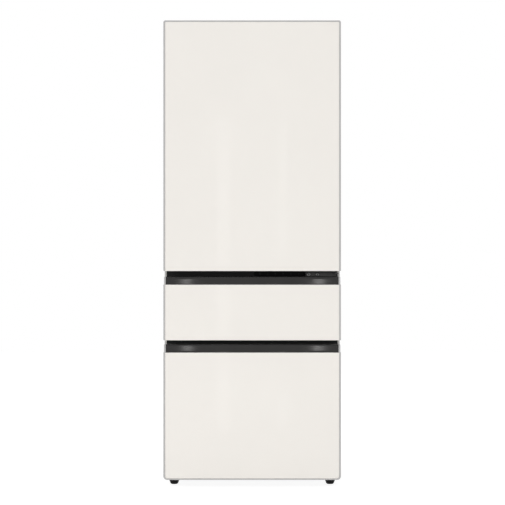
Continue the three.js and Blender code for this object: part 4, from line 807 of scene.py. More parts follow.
class REFRIGERATOR_OT_handle_strips(Operator):
    """Dark brushed handle strips: a face that leans back to a lip, with the finger trough behind it"""

    bl_idname = "refrigerator.handle_strips"
    bl_label = "Handle strips"

    def execute(self, context):
        radius = sizes()["lip_radius"]
        for level in DRAWERS:
            x, y, z = span(level + "_handle")
            front = y[0] - HANDLE_FACE
            foot, top = glass_span(level)[2][1], z[1]
            floor, wall = foot + 2.7, y[1] - 2
            outer = handle_face(front, foot, top - foot)[:-1]
            inner = handle_face(front, floor, top - foot - 2.7, back=HANDLE_SKIN)[:-1]
            lip_front = front + HANDLE_FACE + HANDLE_LEAN
            lip = rounded(
                [outer[-1], (lip_front, top), (lip_front + HANDLE_LIP, top), inner[-1]],
                [0, radius, radius, 0], closed=False,
            )
            trough = rounded(
                [inner[0], (wall, floor), (wall, top), (y[1], top), (y[1], foot), outer[0]],
                [0, 3, 0.6, 0.6, 0.3, 0], closed=False,
            )
            profile = np.concatenate([outer, lip[1:-1], inner[::-1], trough[1:-1]])
            made = add(level + "_strip", prism(profile, x), level + "_drawer", "dark_aluminium",
                       nodes=[level + "_handle"])
            bevel(made, 0.25, 60)
        return {"FINISHED"}


def seal_profile(y, pleat):
    """The seal's section: a foot on the door, a pleat on each side and a magnet pocket against the case."""
    width, depth = 16, y[1] - y[0]
    left = np.array([
        (3.2, 0.0), (3.2, 0.16), (3.2 + pleat * 0.9, 0.28), (2.6, 0.42), (1.2, 0.5), (0.3, 0.6), (0.0, 0.7),
        (0.0, 0.9), (0.5, 0.98), (1.6, 1.0),
    ])
    right = left[::-1] * (-1, 1) + (width, 0)
    return np.concatenate([left, right]) * (1, depth) + (0, y[0])


class REFRIGERATOR_OT_seals(Operator):
    """Pleated magnetic seals behind the door and the drawer fronts"""

    bl_idname = "refrigerator.seals"
    bl_label = "Seals"

    def execute(self, context):
        pleat = sizes()["seal_pleat"]
        for level in LEVELS:
            x, y, z = span(level + "_gasket")
            surface = carry(seal_profile(y, pleat), x, z, 5)
            add(level + "_seal", surface, FRONTS[level], "grey_seal", nodes=[level + "_gasket"])
        return {"FINISHED"}


# ---------------------------------------------------------------- case


class REFRIGERATOR_OT_case(Operator):
    """Painted steel wrap: both sides and the top in one bent sheet, with a flange folded in at the front"""

    bl_idname = "refrigerator.case"
    bl_label = "Case"

    def execute(self, context):
        bend = sizes()["case_bend"]
        x, y, z = span("outer_case")
        sheet_wall, flange = 1.2, 44.0
        a = np.linspace(0, np.pi / 2, 5)
        outer, inner = (
            np.column_stack([start + r * (1 - np.cos(a)), y[0] + start + r * (1 - np.sin(a))])
            for start, r in ((0, bend), (sheet_wall, bend - sheet_wall))
        )
        profile = np.concatenate([
            [(0, y[1])], outer, [(flange, y[0]), (flange, y[0] + sheet_wall)],
            inner[::-1], [(sheet_wall, y[1])],
        ])
        rings = np.asarray([self.arch(x, z, bend + 1.5, inset, depth) for inset, depth in profile])
        count, columns = rings.shape[:2]
        ends = np.arange(count) * columns
        faces = [grid_faces(count, columns, True, False), ends[None], (ends + columns - 1)[None, ::-1]]
        rails = [span(name) for name in RAILS]
        notches = blocks(
            [(r[0][0] - FIT, y[0] - 1, r[2][0] - FIT) for r in rails],
            [(r[0][1] + FIT, y[0] + 2, r[2][1] + FIT) for r in rails],
        )
        add("case_wrap", (rings.reshape(-1, 3), faces), "cabinet", "case_paint",
            nodes=["outer_case"], cutters=[notches], edge=0.25)
        for name in RAILS:
            softened(name, "cabinet", "dark_paint", 0.5)
        foam_back, room_for_beads = span("insulation_foam")[1][1], 8
        softened("insulation_foam", "cabinet", "foam", 0, move=(1, foam_back - 1, -room_for_beads))
        softened("base_pan", "cabinet", "zinc_steel", 0.3)
        return {"FINISHED"}

    @staticmethod
    def arch(x, z, corner, inset, depth):
        """The wrap's path at one inset: up the left side, round two quarter circles and down the right."""
        steps = 6
        ring = outline(x, z, (0, corner, corner, 0), inset, steps)
        upper_two = ring[steps + 1:3 * (steps + 1)]
        left, right = (x[0] + inset, z[0]), (x[1] - inset, z[0])
        return place(np.concatenate([[right], upper_two, [left]]), depth, "y")


class REFRIGERATOR_OT_back_panel(Operator):
    """Zinc-coated back panel with pressed beads and screws round its edge"""

    bl_idname = "refrigerator.back_panel"
    bl_label = "Back panel"

    def execute(self, context):
        s = sizes()
        x, y, z = span("back_panel")
        face = y[1] - SCREW_RISE
        beads, reach = np.linspace(-220, 220, 5), 14.0
        low, high = grown(z, -60)
        local = reach * np.linspace(-1, 1, 13)
        columns = np.concatenate([[x[0]], *(b + local for b in beads), [x[1]]])
        rows = np.concatenate([[z[0]], low + local, high + local, [z[1]]])

        def pressed(u, v):
            """The face's depth: a half cosine across the nearest bead, with round ends, pressed inwards."""
            off = np.abs(u[..., None] - beads).min(axis=-1)
            past = np.maximum(np.maximum(low - v, v - high), 0)
            away = np.sqrt(off**2 + past**2)
            return face - s["bead_depth"] * 0.5 * (1 + np.cos(np.pi * np.minimum(away / reach, 1)))

        add("rear_sheet", relief(columns, rows, pressed, 0.8), "cabinet", "zinc_steel", nodes=["back_panel"])
        border = 9
        heights, across = np.linspace(z[0] + 40, z[1] - 30, 7), np.linspace(-240, 240, 4)
        places = [(side * (x[1] - border), face, h) for side in (-1, 1) for h in heights]
        places += [(u, face, z[1] - border) for u in across]
        add("rear_screws", screws(places, "y", 1, s["screw_radius"] * 0.9), "cabinet", "zinc_steel",
            "screw_steel", ["back_panel"])
        return {"FINISHED"}


class REFRIGERATOR_OT_machine_cover(Operator):
    """Vented cover of the machine compartment: louvre blades behind its slots, screws and the lead's gland"""

    bl_idname = "refrigerator.machine_cover"
    bl_label = "Machine cover"

    def execute(self, context):
        s = sizes()
        x, y, z = span("machine_cover")
        softened("machine_cover", "cabinet", "zinc_steel", 0.3, move=(1, y[1] - 1.5, -SCREW_RISE))
        face = y[1] - SCREW_RISE
        compressor, coil = span("compressor")[0], span("condenser")[0]
        vents = [around(compressor[0] + COMPRESSOR_MIDDLE, 90), grown(coil, -4)]
        slot, pitch, margin, taper = 8, 20, 0.5, 7
        blades = []
        for row in range(9):
            foot = z[0] + 34 + pitch * row
            for u0, u1 in vents:
                ease = np.array([0, 1, 2, 4, taper])
                across = np.concatenate([u0 + ease, u1 - ease[::-1]])
                up = np.linspace(foot - margin, foot + (slot + margin), 9)

                def blade(u, v, u0=u0, u1=u1, foot=foot):
                    """The blade leaves the sheet at its foot and leans inwards as the root of its rise."""
                    end = smooth_step(np.minimum(u - u0, u1 - u) / taper)
                    rise = np.clip((v - foot + margin) / (slot + 2 * margin), 0, 1)
                    return face - 1.25 - s["louvre_depth"] * end * np.sqrt(rise)

                blades.append(relief(across, up, blade, 0.7))
        add("louvre_blades", merge(*blades), "cabinet", "zinc_steel", nodes=["machine_cover"])
        places = [(side * (x[1] - 10), face, h) for side in (-1, 1) for h in grown(z, -14)]
        places += [(0, face, z[1] - 10), (0, face, z[0] + 12)]
        add("cover_screws", screws(places, "y", 1, s["screw_radius"]), "cabinet", "zinc_steel",
            "screw_steel", ["machine_cover"])
        bore, rim, start, end = 4.6, 10.4, 0.5, 9.4
        gland = rounded([(bore, start), (bore, end), (rim, end), (rim, start)], 1.2)
        lead = (-30, y[1] - 9.6, z[0] + 60)
        add("lead_gland", turned(gland, lead, "y", closed=True), "cabinet", "black_plastic",
            nodes=["machine_cover"])
        return {"FINISHED"}


class REFRIGERATOR_OT_feet_and_rollers(Operator):
    """Front screw feet with ribbed cups, hex nuts and threaded studs; rear rollers with their axles"""

    bl_idname = "refrigerator.feet_and_rollers"
    bl_label = "Feet and rollers"

    def execute(self, context):
        for side, _ in SIDES:
            name = "front_foot_" + side
            x, y, z = span(name)
            centre = (x.mean(), y.mean(), z[0])
            cup = turned(
                [(0, 0), (10.2, 0), (11, 0.5), (14.4, 3), (17.2, 11), (18, 12.2), (18, 15.2), (17.3, 16),
                 (11.4, 17.6), (10.2, 18.4), (10.2, 19), (0, 19)],
                centre, sides=96, ripple=0.18,
            )
            # The cups take the darker black plastic, whose extra darkness is painted shade.
            add("foot_cup_" + side, cup, name, "black_plastic", "foot_plastic", [name])
            nut = turned(
                [(0, 18.6), (11.2, 18.6), (12, 19.4), (12, 32.6), (11.2, 33.4), (0, 33.4)], centre, sides=6
            )
            flange = turned([(0, 33.4), (15.4, 33.4), (16, 34), (16, 37.2), (15.6, 37.6), (0, 37.6)], centre)
            add("foot_nut_" + side, merge(nut, flange), name, "zinc_steel", "screw_steel", [name])
            core, depth, lead = 3.6, 0.35, 1.5
            rise = np.arange(36.8, z[1] - z[0], lead / 3)
            thread = np.column_stack([core + depth * np.cos(2 * np.pi * rise / lead), rise])
            stud = turned(np.concatenate([[(0, rise[0])], thread, [(0, rise[-1])]]), centre, sides=20)
            add("foot_stud_" + side, stud, name, "zinc_steel", "screw_steel", [name])
        for side, _ in SIDES:
            name = "rear_roller_" + side
            x, y, z = span(name)
            centre = (x.mean(), y.mean(), z.mean())
            wheel = turned(
                [(4.2, -8), (12, -8), (12.6, -6.4), (15.6, -6.4), (16.2, -8), (17, -7.6), (18, -6), (18, 6),
                 (17, 7.6), (16.2, 8), (15.6, 6.4), (12.6, 6.4), (12, 8), (4.2, 8)],
                centre, "x", 48,
            )
            add("roller_wheel_" + side, wheel, name, "black_plastic", nodes=[name])
            half = (x[1] - x[0]) / 2
            axle = turned(
                [(0, -half), (3.4, -half), (4, 0.6 - half), (4, half - 0.6), (3.4, half), (0, half)],
                centre, "x", 24,
            )
            add("roller_axle_" + side, axle, name, "zinc_steel", "screw_steel", [name])
        return {"FINISHED"}


# ---------------------------------------------------------------- hinges and display


class REFRIGERATOR_OT_hinges(Operator):
    """Top hinge under its moulded cover, and the lower bracket with its pin and screws"""

    bl_idname = "refrigerator.hinges"
    bl_label = "Hinges"

    def execute(self, context):
        softened("top_hinge", "cabinet", "zinc_steel", 0.5)
        softened("middle_hinge", "cabinet", "dark_paint", 0.6, "bracket_paint")
        x, y, z = span("top_hinge_cover")
        pin = frame_joint("upper_door_hinge")
        cover = slab(x, y, z, 8, (0.3, 5), "z", 8)
        inner = slab(grown(x, -2), grown(y, -2), (z[0] - 2, z[1] - 2), 6, (0, 4), "z")
        arm = blocks((pin[0] - 11, y[0] - 3, z[0] - 3), (pin[0] + 11, y[0] + 5, z[0] + 5))
        middle = (x.mean() - 18, y.mean())
        well = turned([(8, z[1] - 1.2), (8, z[1] + 2)], (*middle, 0))
        add("hinge_cover", cover, "cabinet", "black_plastic", nodes=["top_hinge_cover"],
            cutters=[inner, arm, well], edge=0.3)
        cap = turned(
            [(0, -1.1), (7.4, -1.1), (7.6, -0.9), (7.6, -0.3), (6.9, 0), (0, 0)], (*middle, z[1] - 0.3)
        )
        slot = slab(around(middle[0], 4.5), around(middle[1], 0.7), (z[1] - 0.9, z[1] + 1), 0.6, 0, "z")
        add("hinge_cover_plug", cap, "cabinet", "black_plastic", nodes=["top_hinge_cover"], cutters=[slot])
        bracket = span("middle_hinge")
        face = pin[1] + 16.0
        height = bracket[2][0] + 7.0
        heads, sockets = [], []
        for u, r in ((bracket[0][0] + 11, 6.4), (bracket[0][0] + 44, 5.6)):
            rim = [(r * 0.52, 0.2), (r * 0.52, 2.2), (r * 0.66, 2.6), (r * 0.86, 2.1), (r, 0.9), (r, -0.6)]
            centre = (u, face, height)
            heads.append(turned([(a, -b) for a, b in [(0, 0.2), *rim, (0, -0.6)]], centre, "y"))
            sockets.append(turned([(0, -0.2), (r * 0.5, -0.2), (r * 0.5, -0.5), (0, -0.5)], centre, "y", 6))
        add("bracket_screws", merge(*heads), "cabinet", "dark_paint", "screw_steel", ["middle_hinge"])
        add("bracket_sockets", merge(*sockets), "cabinet", "dark_paint", "black_plastic", ["middle_hinge"])
        return {"FINISHED"}


class REFRIGERATOR_OT_display(Operator):
    """Gloss black control strip with touch marks that hardly show while it is off"""

    bl_idname = "refrigerator.display"
    bl_label = "Control strip"

    def execute(self, context):
        x, y, z = span("control_display")
        strip = slab(x, z, y, 2.5, (0.9, 0.3))
        add("control_strip", strip, "cabinet", "black_gloss", nodes=["control_display"])
        middle = z.mean()
        ring = rounded([(1.5, 0.0), (1.5, 0.12), (1.9, 0.12), (1.9, 0.0)], 0.03, steps=2) * (1, -1)
        marks = []
        for u in np.linspace(x[0] + 22, x[1] - 22, 6):
            marks.append(turned(ring, (u, y[0] + 0.04, middle + 1.6), "y", closed=True))
            bar = (middle - 3.4, middle - 3.0)
            marks.append(slab(around(u, 2.4), bar, (y[0] - 0.05, y[0] + 0.1), 0.15, 0))
        add("control_marks", merge(*marks), "cabinet", "black_gloss", "display_mark", ["control_display"])
        return {"FINISHED"}


# ---------------------------------------------------------------- linings, shelves, duct and lamp


def room_outline(y, z, step, inset, fillet):
    """A compartment's side view, open at the front: floor, back and ceiling, with a step if it has one."""
    floor, ceiling = z[0] + inset, z[1] - inset
    back = y[1] - inset
    corners = [(y[0], floor)]
    radii = [0.0]
    if step is not None:
        corners += [(step[0] - inset, floor), (step[0] - inset, step[1] + inset)]
        radii += [fillet, fillet * 0.5]
    corners += [(back, (step[1] + inset) if step is not None else floor), (back, ceiling), (y[0], ceiling)]
    radii += [fillet, fillet, 0.0]
    return rounded(corners, radii, closed=False, steps=6)


def tub(x, y, z, fillet, step):
    """A compartment's lining: its side view carried across, drawn in by r (1 - sin a) at each side."""
    a = np.linspace(0, np.pi / 2, 6)
    insets = fillet * (1 - np.sin(a))
    rings = [place(room_outline(y, z, step, i, fillet), x[0] + fillet * (1 - math.cos(t)), "x")
             for i, t in zip(insets, a)]
    rings += [ring * (-1, 1, 1) for ring in rings[::-1]]
    return loft(rings, round_rings=False)


# The thickness of the linings, and the depth and height of the lower one's step over the machine compartment.
LINING_WALL = 2.0
MACHINE_STEP = (109.3, 332.0)


class REFRIGERATOR_OT_linings(Operator):
    """White moulded linings of the three compartments, with shelf ledges and the fan's boss"""

    bl_idname = "refrigerator.linings"
    bl_label = "Linings"

    def execute(self, context):
        wall, half = LINING_WALL, LINING_WALL / 2
        for level in LEVELS:
            x, y, z = span(level + "_lining")
            step = MACHINE_STEP if level == "lower" else None
            fillet = sizes()["lining_fillet"] if level == "upper" else 8.0
            room = tub(grown(x, -wall), (y[0], y[1] - wall), grown(z, -wall), fillet, step)
            made = mesh_object(level + "_tub", room)
            skin = made.modifiers.new("wall", "SOLIDIFY")
            skin.thickness = wall * MM
            skin.offset = 1.0
            skin.use_even_offset = True
            dress(made, "cabinet", "white_lining", nodes=[level + "_lining"])
            rim = slab(x, z, (y[0] + 0.1, y[0] + 1.3), 0, 0)
            mouth = slab(grown(x, -half), grown(z, -half), (y[0] - 2, y[0] + 3), fillet + half, 0)
            add(level + "_rim", rim, "cabinet", "white_lining", nodes=[level + "_lining"], cutters=[mouth])
        x, y, _ = span("upper_lining")
        depth, ledges = (-177.7, 246.8), []
        for shelf in SHELVES:
            top = span(shelf)[2][1] - SHELF_GLASS[0] - FIT
            for _, side in SIDES:
                across = sorted((side * (x[1] - 1), side * (x[1] - 10)))
                ledges.append(slab(across, (top - 8, top), depth, 3, 3, "y"))
        add("shelf_ledges", merge(*ledges), "cabinet", "white_lining", nodes=["upper_lining"])
        fan = frame_joint("cold_fan_spin")
        back = y[1] - wall - fan[1]
        boss = turned(
            [(0, back + 1), (19, back + 1), (17, back - 2), (16, back - 9.4), (15.4, back - 10),
             (3, back - 10), (3, 12.6), (2.4, 12), (0, 12)],
            fan, "y",
        )
        add("fan_boss", boss, "cabinet", "white_lining", nodes=["upper_lining"])
        return {"FINISHED"}


# How far a shelf's glass lies below the top of its trim: its underside and its face.
SHELF_GLASS = (6, 1)


class REFRIGERATOR_OT_shelves(Operator):
    """Glass shelves with a moulded trim along the front edge and a bar along the back edge"""

    bl_idname = "refrigerator.shelves"
    bl_label = "Shelves"

    def execute(self, context):
        for name in SHELVES:
            x, y, z = span(name)
            low, high = z[1] - SHELF_GLASS[0], z[1] - SHELF_GLASS[1]
            edge, back = y[0] + 14, y[1] - 6
            plate = slab(x, (edge - 3.5, y[1]), (low, high), 3, 0.7, "z")
            add(name + "_plate", plate, "cabinet", "shelf_glass", nodes=[name])
            profile = rounded([
                (y[0], z[0]), (edge, z[0]), (edge, low - 0.2), (edge - 4, low - 0.2), (edge - 4, high + 0.1),
                (edge + 6, high + 0.1), (edge + 6, z[1]), (y[0], z[1]),
            ], [2.5, 1, 0.2, 0.2, 0.2, 0.1, 0.3, 2.5])
            trim = prism(profile, x)
            add(name + "_trim", trim, "cabinet", "shelf_glass", "soft_white", [name], edge=0.4)
            grip = rounded([
                (back, low - 2), (y[1], low - 2), (y[1], z[1]), (back, z[1]), (back, high + 0.1),
                (y[1] - 1.2, high + 0.1), (y[1] - 1.2, low - 0.1), (back, low - 0.1),
            ], 0.3)
            bar = prism(grip, grown(x, -8))
            add(name + "_rear_bar", bar, "cabinet", "shelf_glass", "soft_white", [name])
        return {"FINISHED"}


class REFRIGERATOR_OT_duct_cover(Operator):
    """Brushed aluminium duct cover with round-ended outlets, vanes behind them and a row of returns"""

    bl_idname = "refrigerator.duct_cover"
    bl_label = "Duct cover"

    def execute(self, context):
        x, y, z = span("duct_cover")
        room = grown(span("upper_lining")[2], -LINING_WALL)
        pitch, wall = (room[1] - room[0]) / 3, 2.5
        body = slab(x, z, y, 10, (4, 0.4), steps=8)
        inner = slab(grown(x, -wall), grown(z, -wall), (y[0] + wall, y[1] + 3), 7.5, (2, 0))
        front, end = (y[0] - 2, y[0] + 4), 4.9
        slots, vanes = [], []
        for level in range(3):
            for u in (-130, 130):
                for row in (0, 1):
                    foot = room[0] + pitch * (level + 1) - pitch / 4 - 20 * row
                    slots.append(slab(around(u, 60), (foot, foot + 10), front, end, 0))
                    profile = [(3, foot - 1), (3.8, foot - 1), (9, foot + 9), (8, foot + 9.4)]
                    profile = rounded([(y[0] + v, w) for v, w in profile], 0.2, steps=2)
                    vanes.append(prism(profile, around(u, 62)))
        for u in 44 * np.arange(-2, 3):
            slots.append(slab(around(u, 15), (z[0] + 20, z[0] + 30), front, end, 0))
        made = add("duct_front", body, "cabinet", "bright_aluminium", nodes=["duct_cover"], cutters=[inner])
        cut(made, merge(*slots))
        bevel(made, 0.4)
        add("duct_vanes", merge(*vanes), "cabinet", "bright_aluminium", "soft_white", ["duct_cover"])
        return {"FINISHED"}


class REFRIGERATOR_OT_lamp(Operator):
    """Milky lamp diffuser under the upper compartment's ceiling, between two end caps"""

    bl_idname = "refrigerator.lamp"
    bl_label = "Lamp"

    def execute(self, context):
        x, y, z = span("room_lamp")
        lens = slab(grown(x, -10), y, z, 5, (3, 0.2), "z")
        add("lamp_lens", lens, "cabinet", "lamp_diffuser", nodes=["room_lamp"])
        caps = [slab(u, y, z, 4, (2.4, 0.2), "z") for u in ((x[0], x[0] + 9.6), (x[1] - 9.6, x[1]))]
        add("lamp_ends", merge(*caps), "cabinet", "lamp_diffuser", "soft_white", ["room_lamp"])
        return {"FINISHED"}


# ---------------------------------------------------------------- door lining and bins

# How far the underside of a bin's hook lies below the bin's rim.
HOOK_ROOF = 14


class REFRIGERATOR_OT_door_lining(Operator):
    """White door lining with its raised rim and the pegs that the bins hang on"""

    bl_idname = "refrigerator.door_lining"
    bl_label = "Door lining"

    def execute(self, context):
        draft = sizes()["dyke_draft"]
        x, y, z = span("upper_door_lining")
        face, top = y[0] + 2.0, y[1]
        fillet, crown, rim = 4.0, 4.0, 20
        dyke = (-273.7, 273.7), (z[0] + 41, z[1] - 53.6), 14

        def ring(bounds_x, bounds_z, corner, inset, depth):
            return place(outline(bounds_x, bounds_z, corner, inset, 8), depth, "y")

        bends = [(1 - math.sin(t), 1 - math.cos(t)) for t in np.linspace(0, np.pi / 2, 5)]
        plate = [ring(x, z, 4, inset, depth)
                 for inset, depth in ((0, y[0]), (0, face - 0.8), (0.3, face - 0.2), (0.8, face))]
        rise = [(-fillet - 2, face)]
        rise += [(-fillet * p, face + fillet * q) for p, q in bends]
        rise += [(draft + crown * q, top - crown * p) for p, q in bends]
        fall = [(rim - draft - crown * p, top - crown * q) for p, q in bends]
        fall += [(rim + fillet * q, face + fillet * p) for p, q in bends]
        fall += [(rim + fillet + 2, face)]
        plate += [ring(*dyke, inset, depth) for inset, depth in rise + fall]
        add("door_lining", loft(plate), "upper_door", "white_lining", nodes=["upper_door_lining"])
        pegs = []
        for name in BINS:
            peg_top = span(name)[2][1] - (HOOK_ROOF + FIT)
            for _, side in SIDES:
                across = sorted((side * 256.0, side * 246.7))
                pegs.append(slab(across, (peg_top - 14, peg_top), (face + 10, face + 22), 2.5, 1.2, "y"))
        add("bin_pegs", merge(*pegs), "upper_door", "white_lining", nodes=["upper_door_lining"])
        return {"FINISHED"}


class REFRIGERATOR_OT_door_bins(Operator):
    """Clear moulded bins with a rolled rim, a white band along the front and hooks over the pegs"""

    bl_idname = "refrigerator.door_bins"
    bl_label = "Door bins"

    def execute(self, context):
        draft = sizes()["bin_draft"]
        for name in BINS:
            x, y, (low, high) = span(name)
            u = grown(x, -7)
            profile = [
                (8, low), (5, low), (draft + 1.6, low + 0.7), (draft + 0.4, low + 2), (draft, low + 4),
                (draft * 0.2 + 1.0, high - 11), (0.2, high - 9.5), (0, high - 8.5), (0, high - 1.4),
                (0.4, high - 0.4), (1.4, high), (2.6, high), (3.6, high - 0.4), (4, high - 1.4),
                (3.6, high - 8), (draft + 2.4, low + 8), (draft + 3.4, low + 4.4), (draft + 6, low + 2.7),
                (12, low + 2.5),
            ]
            surface = carry(profile, u, y, (6, 24, 24, 6), "z", closed=False, steps=10)
            add(name + "_shell", surface, name, "clear_plastic", nodes=[name])
            hooks = []
            for _, side in SIDES:
                across = sorted((side * (x[1] - 0.2), side * (x[1] - 8.4)))
                hook = (y[0] + 7.7, y[0] + 23.7), (high - HOOK_ROOF, high - 0.4)
                hooks.append(slab(across, *hook, 3, 0.8, "z"))
            add(name + "_hooks", merge(*hooks), name, "clear_plastic", nodes=[name])
            band = slab(grown(u, -26), (high - 9.5, high - 1.5), around(y[1], 1.2), 3.5, 0.8, "y")
            add(name + "_band", band, name, "clear_plastic", "soft_white", [name])
        return {"FINISHED"}


# ---------------------------------------------------------------- drawers


def slide_section(outer, inner, half, wall, lip):
    """The section of a lipped channel before its folds are rounded, in X and Z."""
    folded, lower, upper = inner + wall, wall - half, half - wall
    return [
        (outer, -half), (outer, half), (inner, half), (inner, upper - lip), (folded, upper - lip),
        (folded, upper), (outer - wall, upper), (outer - wall, lower), (folded, lower),
        (folded, wall + lip - half), (inner, wall + lip - half), (inner, -half),
    ]


class REFRIGERATOR_OT_slides(Operator):
    """Telescopic slides: the fixed channel and the middle channel at each side of each drawer"""

    bl_idname = "refrigerator.slides"
    bl_label = "Slides"

    def execute(self, context):
        for level in DRAWERS:
            for side, s in SIDES:
                for part, body in (("slide", "cabinet"), ("carrier", f"{level}_carrier_{side}")):
                    name = f"{level}_{part}_{side}"
                    x, y, z = span(name)
                    outer, inner = (x[1], x[0]) if s > 0 else (-x[0], -x[1])
                    half = (z[1] - z[0]) / 2
                    flat = rounded(slide_section(outer, inner, half, 1.5, 4.0), 0.7, steps=3) * (s, 1)
                    flat[:, 1] += z.mean()
                    rail, holes = prism(flat, y, "y"), self.holes(s * outer, y, z.mean())
                    made = add(name + "_rail", rail, body, "zinc_steel", "rolled_steel", [name], holes)
                    bevel(made, 0.2, 60)
        return {"FINISHED"}

    @staticmethod
    def holes(x, y, z):
        """Oblong screw holes through the web."""
        places = np.linspace(y[0] + 40, y[1] - 40, 4)
        return [slab(around(v, 7), around(z, 3), around(x, 3), 2.9, 0, "x") for v in places]


# How far a basket's side walls stand from the middle.
BASKET_SIDE = 268.4


class REFRIGERATOR_OT_baskets(Operator):
    """Moulded drawer baskets with rolled rims, rows of slots and steel runners on both sides"""

    bl_idname = "refrigerator.baskets"
    bl_label = "Baskets"

    def execute(self, context):
        for level in DRAWERS:
            name = level + "_basket"
            body = level + "_drawer"
            _, runner_y, (low, high) = span(name)
            x = (-BASKET_SIDE, BASKET_SIDE)
            y = (runner_y[0], span(level + "_lid_left")[1][1] + 6)
            profile = [
                (12, low), (6, low), (2, low + 0.8), (0.6, low + 3), (0, low + 8), (0, high - 9),
                (-2, high - 7.5), (-2.4, high - 5), (-2.4, high - 1.6), (-1.4, high - 0.4), (0, high),
                (1.4, high), (2.6, high - 0.8), (3, high - 2), (3, low + 9), (4, low + 5), (7, low + 3),
                (14, low + 3),
            ]
            tray = carry(profile, x, y, 9, "z", closed=False)
            slide_z = span(f"{level}_slide_left")[2].mean()
            half, end, pitch = 4.5, 4.4, 18.0
            foot = low + 22
            windows = [
                slab(around(v, half), (foot, slide_z - 26), around(side, 8), end, 0, "x", 4)
                for side in x for v in np.arange(y[0] + 40, y[1] - 36, pitch)
            ]
            windows += [
                slab(around(u, half), (foot, high - 30), around(y[1], 8), end, 0, "y", 4)
                for u in np.arange(-234, 235, pitch)
            ]
            add(name + "_tray", tray, body, "basket_plastic", nodes=[name], cutters=[merge(*windows)])
            channel = span(f"{level}_carrier_right")[0]
            head_outer, head_inner = channel[1] - 2.1, channel[0] + 2.1
            head, web, near = 13.8, 9.8, 265.8
            along = (-261.7, runner_y[1] if level == "middle" else 198.8)
            runners = []
            for _, s in SIDES:
                section = [(near, -web), (near, web), (head_inner, web), (head_inner, head),
                           (head_outer, head), (head_outer, -head), (head_inner, -head), (head_inner, -web)]
                flat = rounded(section, 0.8, steps=3) * (s, 1)
                flat[:, 1] += slide_z
                runners.append(prism(flat, along, "y"))
            add(name + "_runners", merge(*runners), body, "basket_plastic", "rolled_steel", [name])
        return {"FINISHED"}


def across_wall(at, out, behind, beyond):
    """The span of a piece that stands on a wall: from behind its face to beyond it, on the side it faces."""
    return sorted((at - out * behind, at + out * beyond))


class REFRIGERATOR_OT_containers(Operator):
    """Milky kimchi containers with a rolled rim, a recessed foot, side ribs and hand grips"""

    bl_idname = "refrigerator.containers"
    bl_label = "Containers"

    def execute(self, context):
        draft = sizes()["container_draft"]
        rim = 4
        for level in DRAWERS:
            for side, _ in SIDES:
                name = f"{level}_container_{side}"
                body = level + "_drawer"
                x, y, (low, high) = span(name)
                profile = [
                    (22, low + 1.2), (16, low + 1.2), (14.5, low), (9 + draft, low), (5.5 + draft, low + 1.2),
                    (4.2 + draft, low + 4), (4 + draft, low + 9), (4, high - 24), (4, high - 7),
                    (1.2, high - 6), (0.2, high - 5.2), (0, high - 4), (0, high - 1.2), (0.4, high - 0.3),
                    (1.2, high), (5.6, high), (6.6, high - 0.4), (7, high - 1.4), (7, high - 24),
                    (7 + draft, low + 14), (8 + draft, low + 8), (12 + draft, low + 4.2),
                    (18 + draft, low + 3.6),
                ]
                surface = carry(profile, x, y, 17, "z", closed=False, steps=8)
                add(name + "_box", surface, body, "container_plastic", nodes=[name])
                grips, middle = [], x.mean()
                for at, out in zip(grown(y, -rim), (-1, 1)):
                    deep = across_wall(at, out, 1.0, 2.6)
                    grips.append(slab(around(middle, 48), (high - 34, high - 27), deep, 3, 1.2, "y"))
                    grips += [slab(around(middle + e, 3), (high - 34, high - 6), deep, 1.5, 1.0, "y")
                              for e in (-45, 45)]
                ribs = [
                    slab(around(v, 4), (low + 30, high - 20), across_wall(at, out, 0.8, 1.0),
                         3.9, 0.7, "x", 4)
                    for at, out in zip(grown(x, -rim), (-1, 1)) for v in np.linspace(*grown(y, -60), 5)
                ]
                add(name + "_grips", merge(*grips, *ribs), body, "container_plastic", nodes=[name])
        return {"FINISHED"}


class REFRIGERATOR_OT_lids(Operator):
    """Lids with a stepped top, a flap on each side and a round vent button"""

    bl_idname = "refrigerator.lids"
    bl_label = "Lids"

    def execute(self, context):
        for level in DRAWERS:
            for side, _ in SIDES:
                name = f"{level}_lid_{side}"
                x, y, (low, high) = span(name)
                profile = [
                    (40, high - 3), (8, high - 3), (3.4, high - 3.4), (2.2, high - 4.6), (2, high - 6),
                    (2, low + 0.8), (1.6, low), (0.6, low), (0, low + 0.8), (0, high - 4), (0.4, high - 1.8),
                    (1.8, high - 0.4), (4, high), (9, high), (10.2, high - 0.3), (11.4, high - 1.4),
                    (12.6, high - 1.7), (30, high - 1.7), (31.4, high - 1.5), (32.6, high - 0.7),
                    (34, high - 0.5), (42, high - 0.5),
                ]
                surface = carry(profile, x, y, 18, "z", closed=False, steps=8)
                add(name + "_cover", surface, name, "lid_plastic", nodes=[name])
                walls = (x, y.mean(), 42, 1.1, "x"), (y, x.mean(), 36, 1.4, "y")
                flaps = [
                    slab(around(middle, half), (low + 1.5, high - 2.2), across_wall(at, out, 0.6, stand),
                         3, 0.5, axis)
                    for ends, middle, half, stand, axis in walls for at, out in zip(ends, (-1, 1))
                ]
                add(name + "_flaps", merge(*flaps), name, "lid_plastic", nodes=[name])
                button = turned(
                    [(0, -0.6), (17, -0.6), (17, 0.1), (16.2, 0.5), (13.4, 0.5), (12.8, 0.1), (12.2, -0.1),
                     (11.6, 0.3), (10.8, 1.2), (8, 1.7), (4, 1.9), (0, 1.9)],
                    (x.mean(), y[0] + 74, high - 0.5), sides=48,
                )
                add(name + "_vent", button, name, "lid_plastic", "soft_white", [name])
        return {"FINISHED"}


# ---------------------------------------------------------------- machine compartment and coils

# Radius and depth of the bore in a fan's hub, then each fan with its axis, its radius and its hub's radius.
FAN_BORE, FAN_BORE_DEPTH = 3.6, 9
FANS = (("cold_fan", "y", 51, 16), ("condenser_fan", "x", 69, 20))


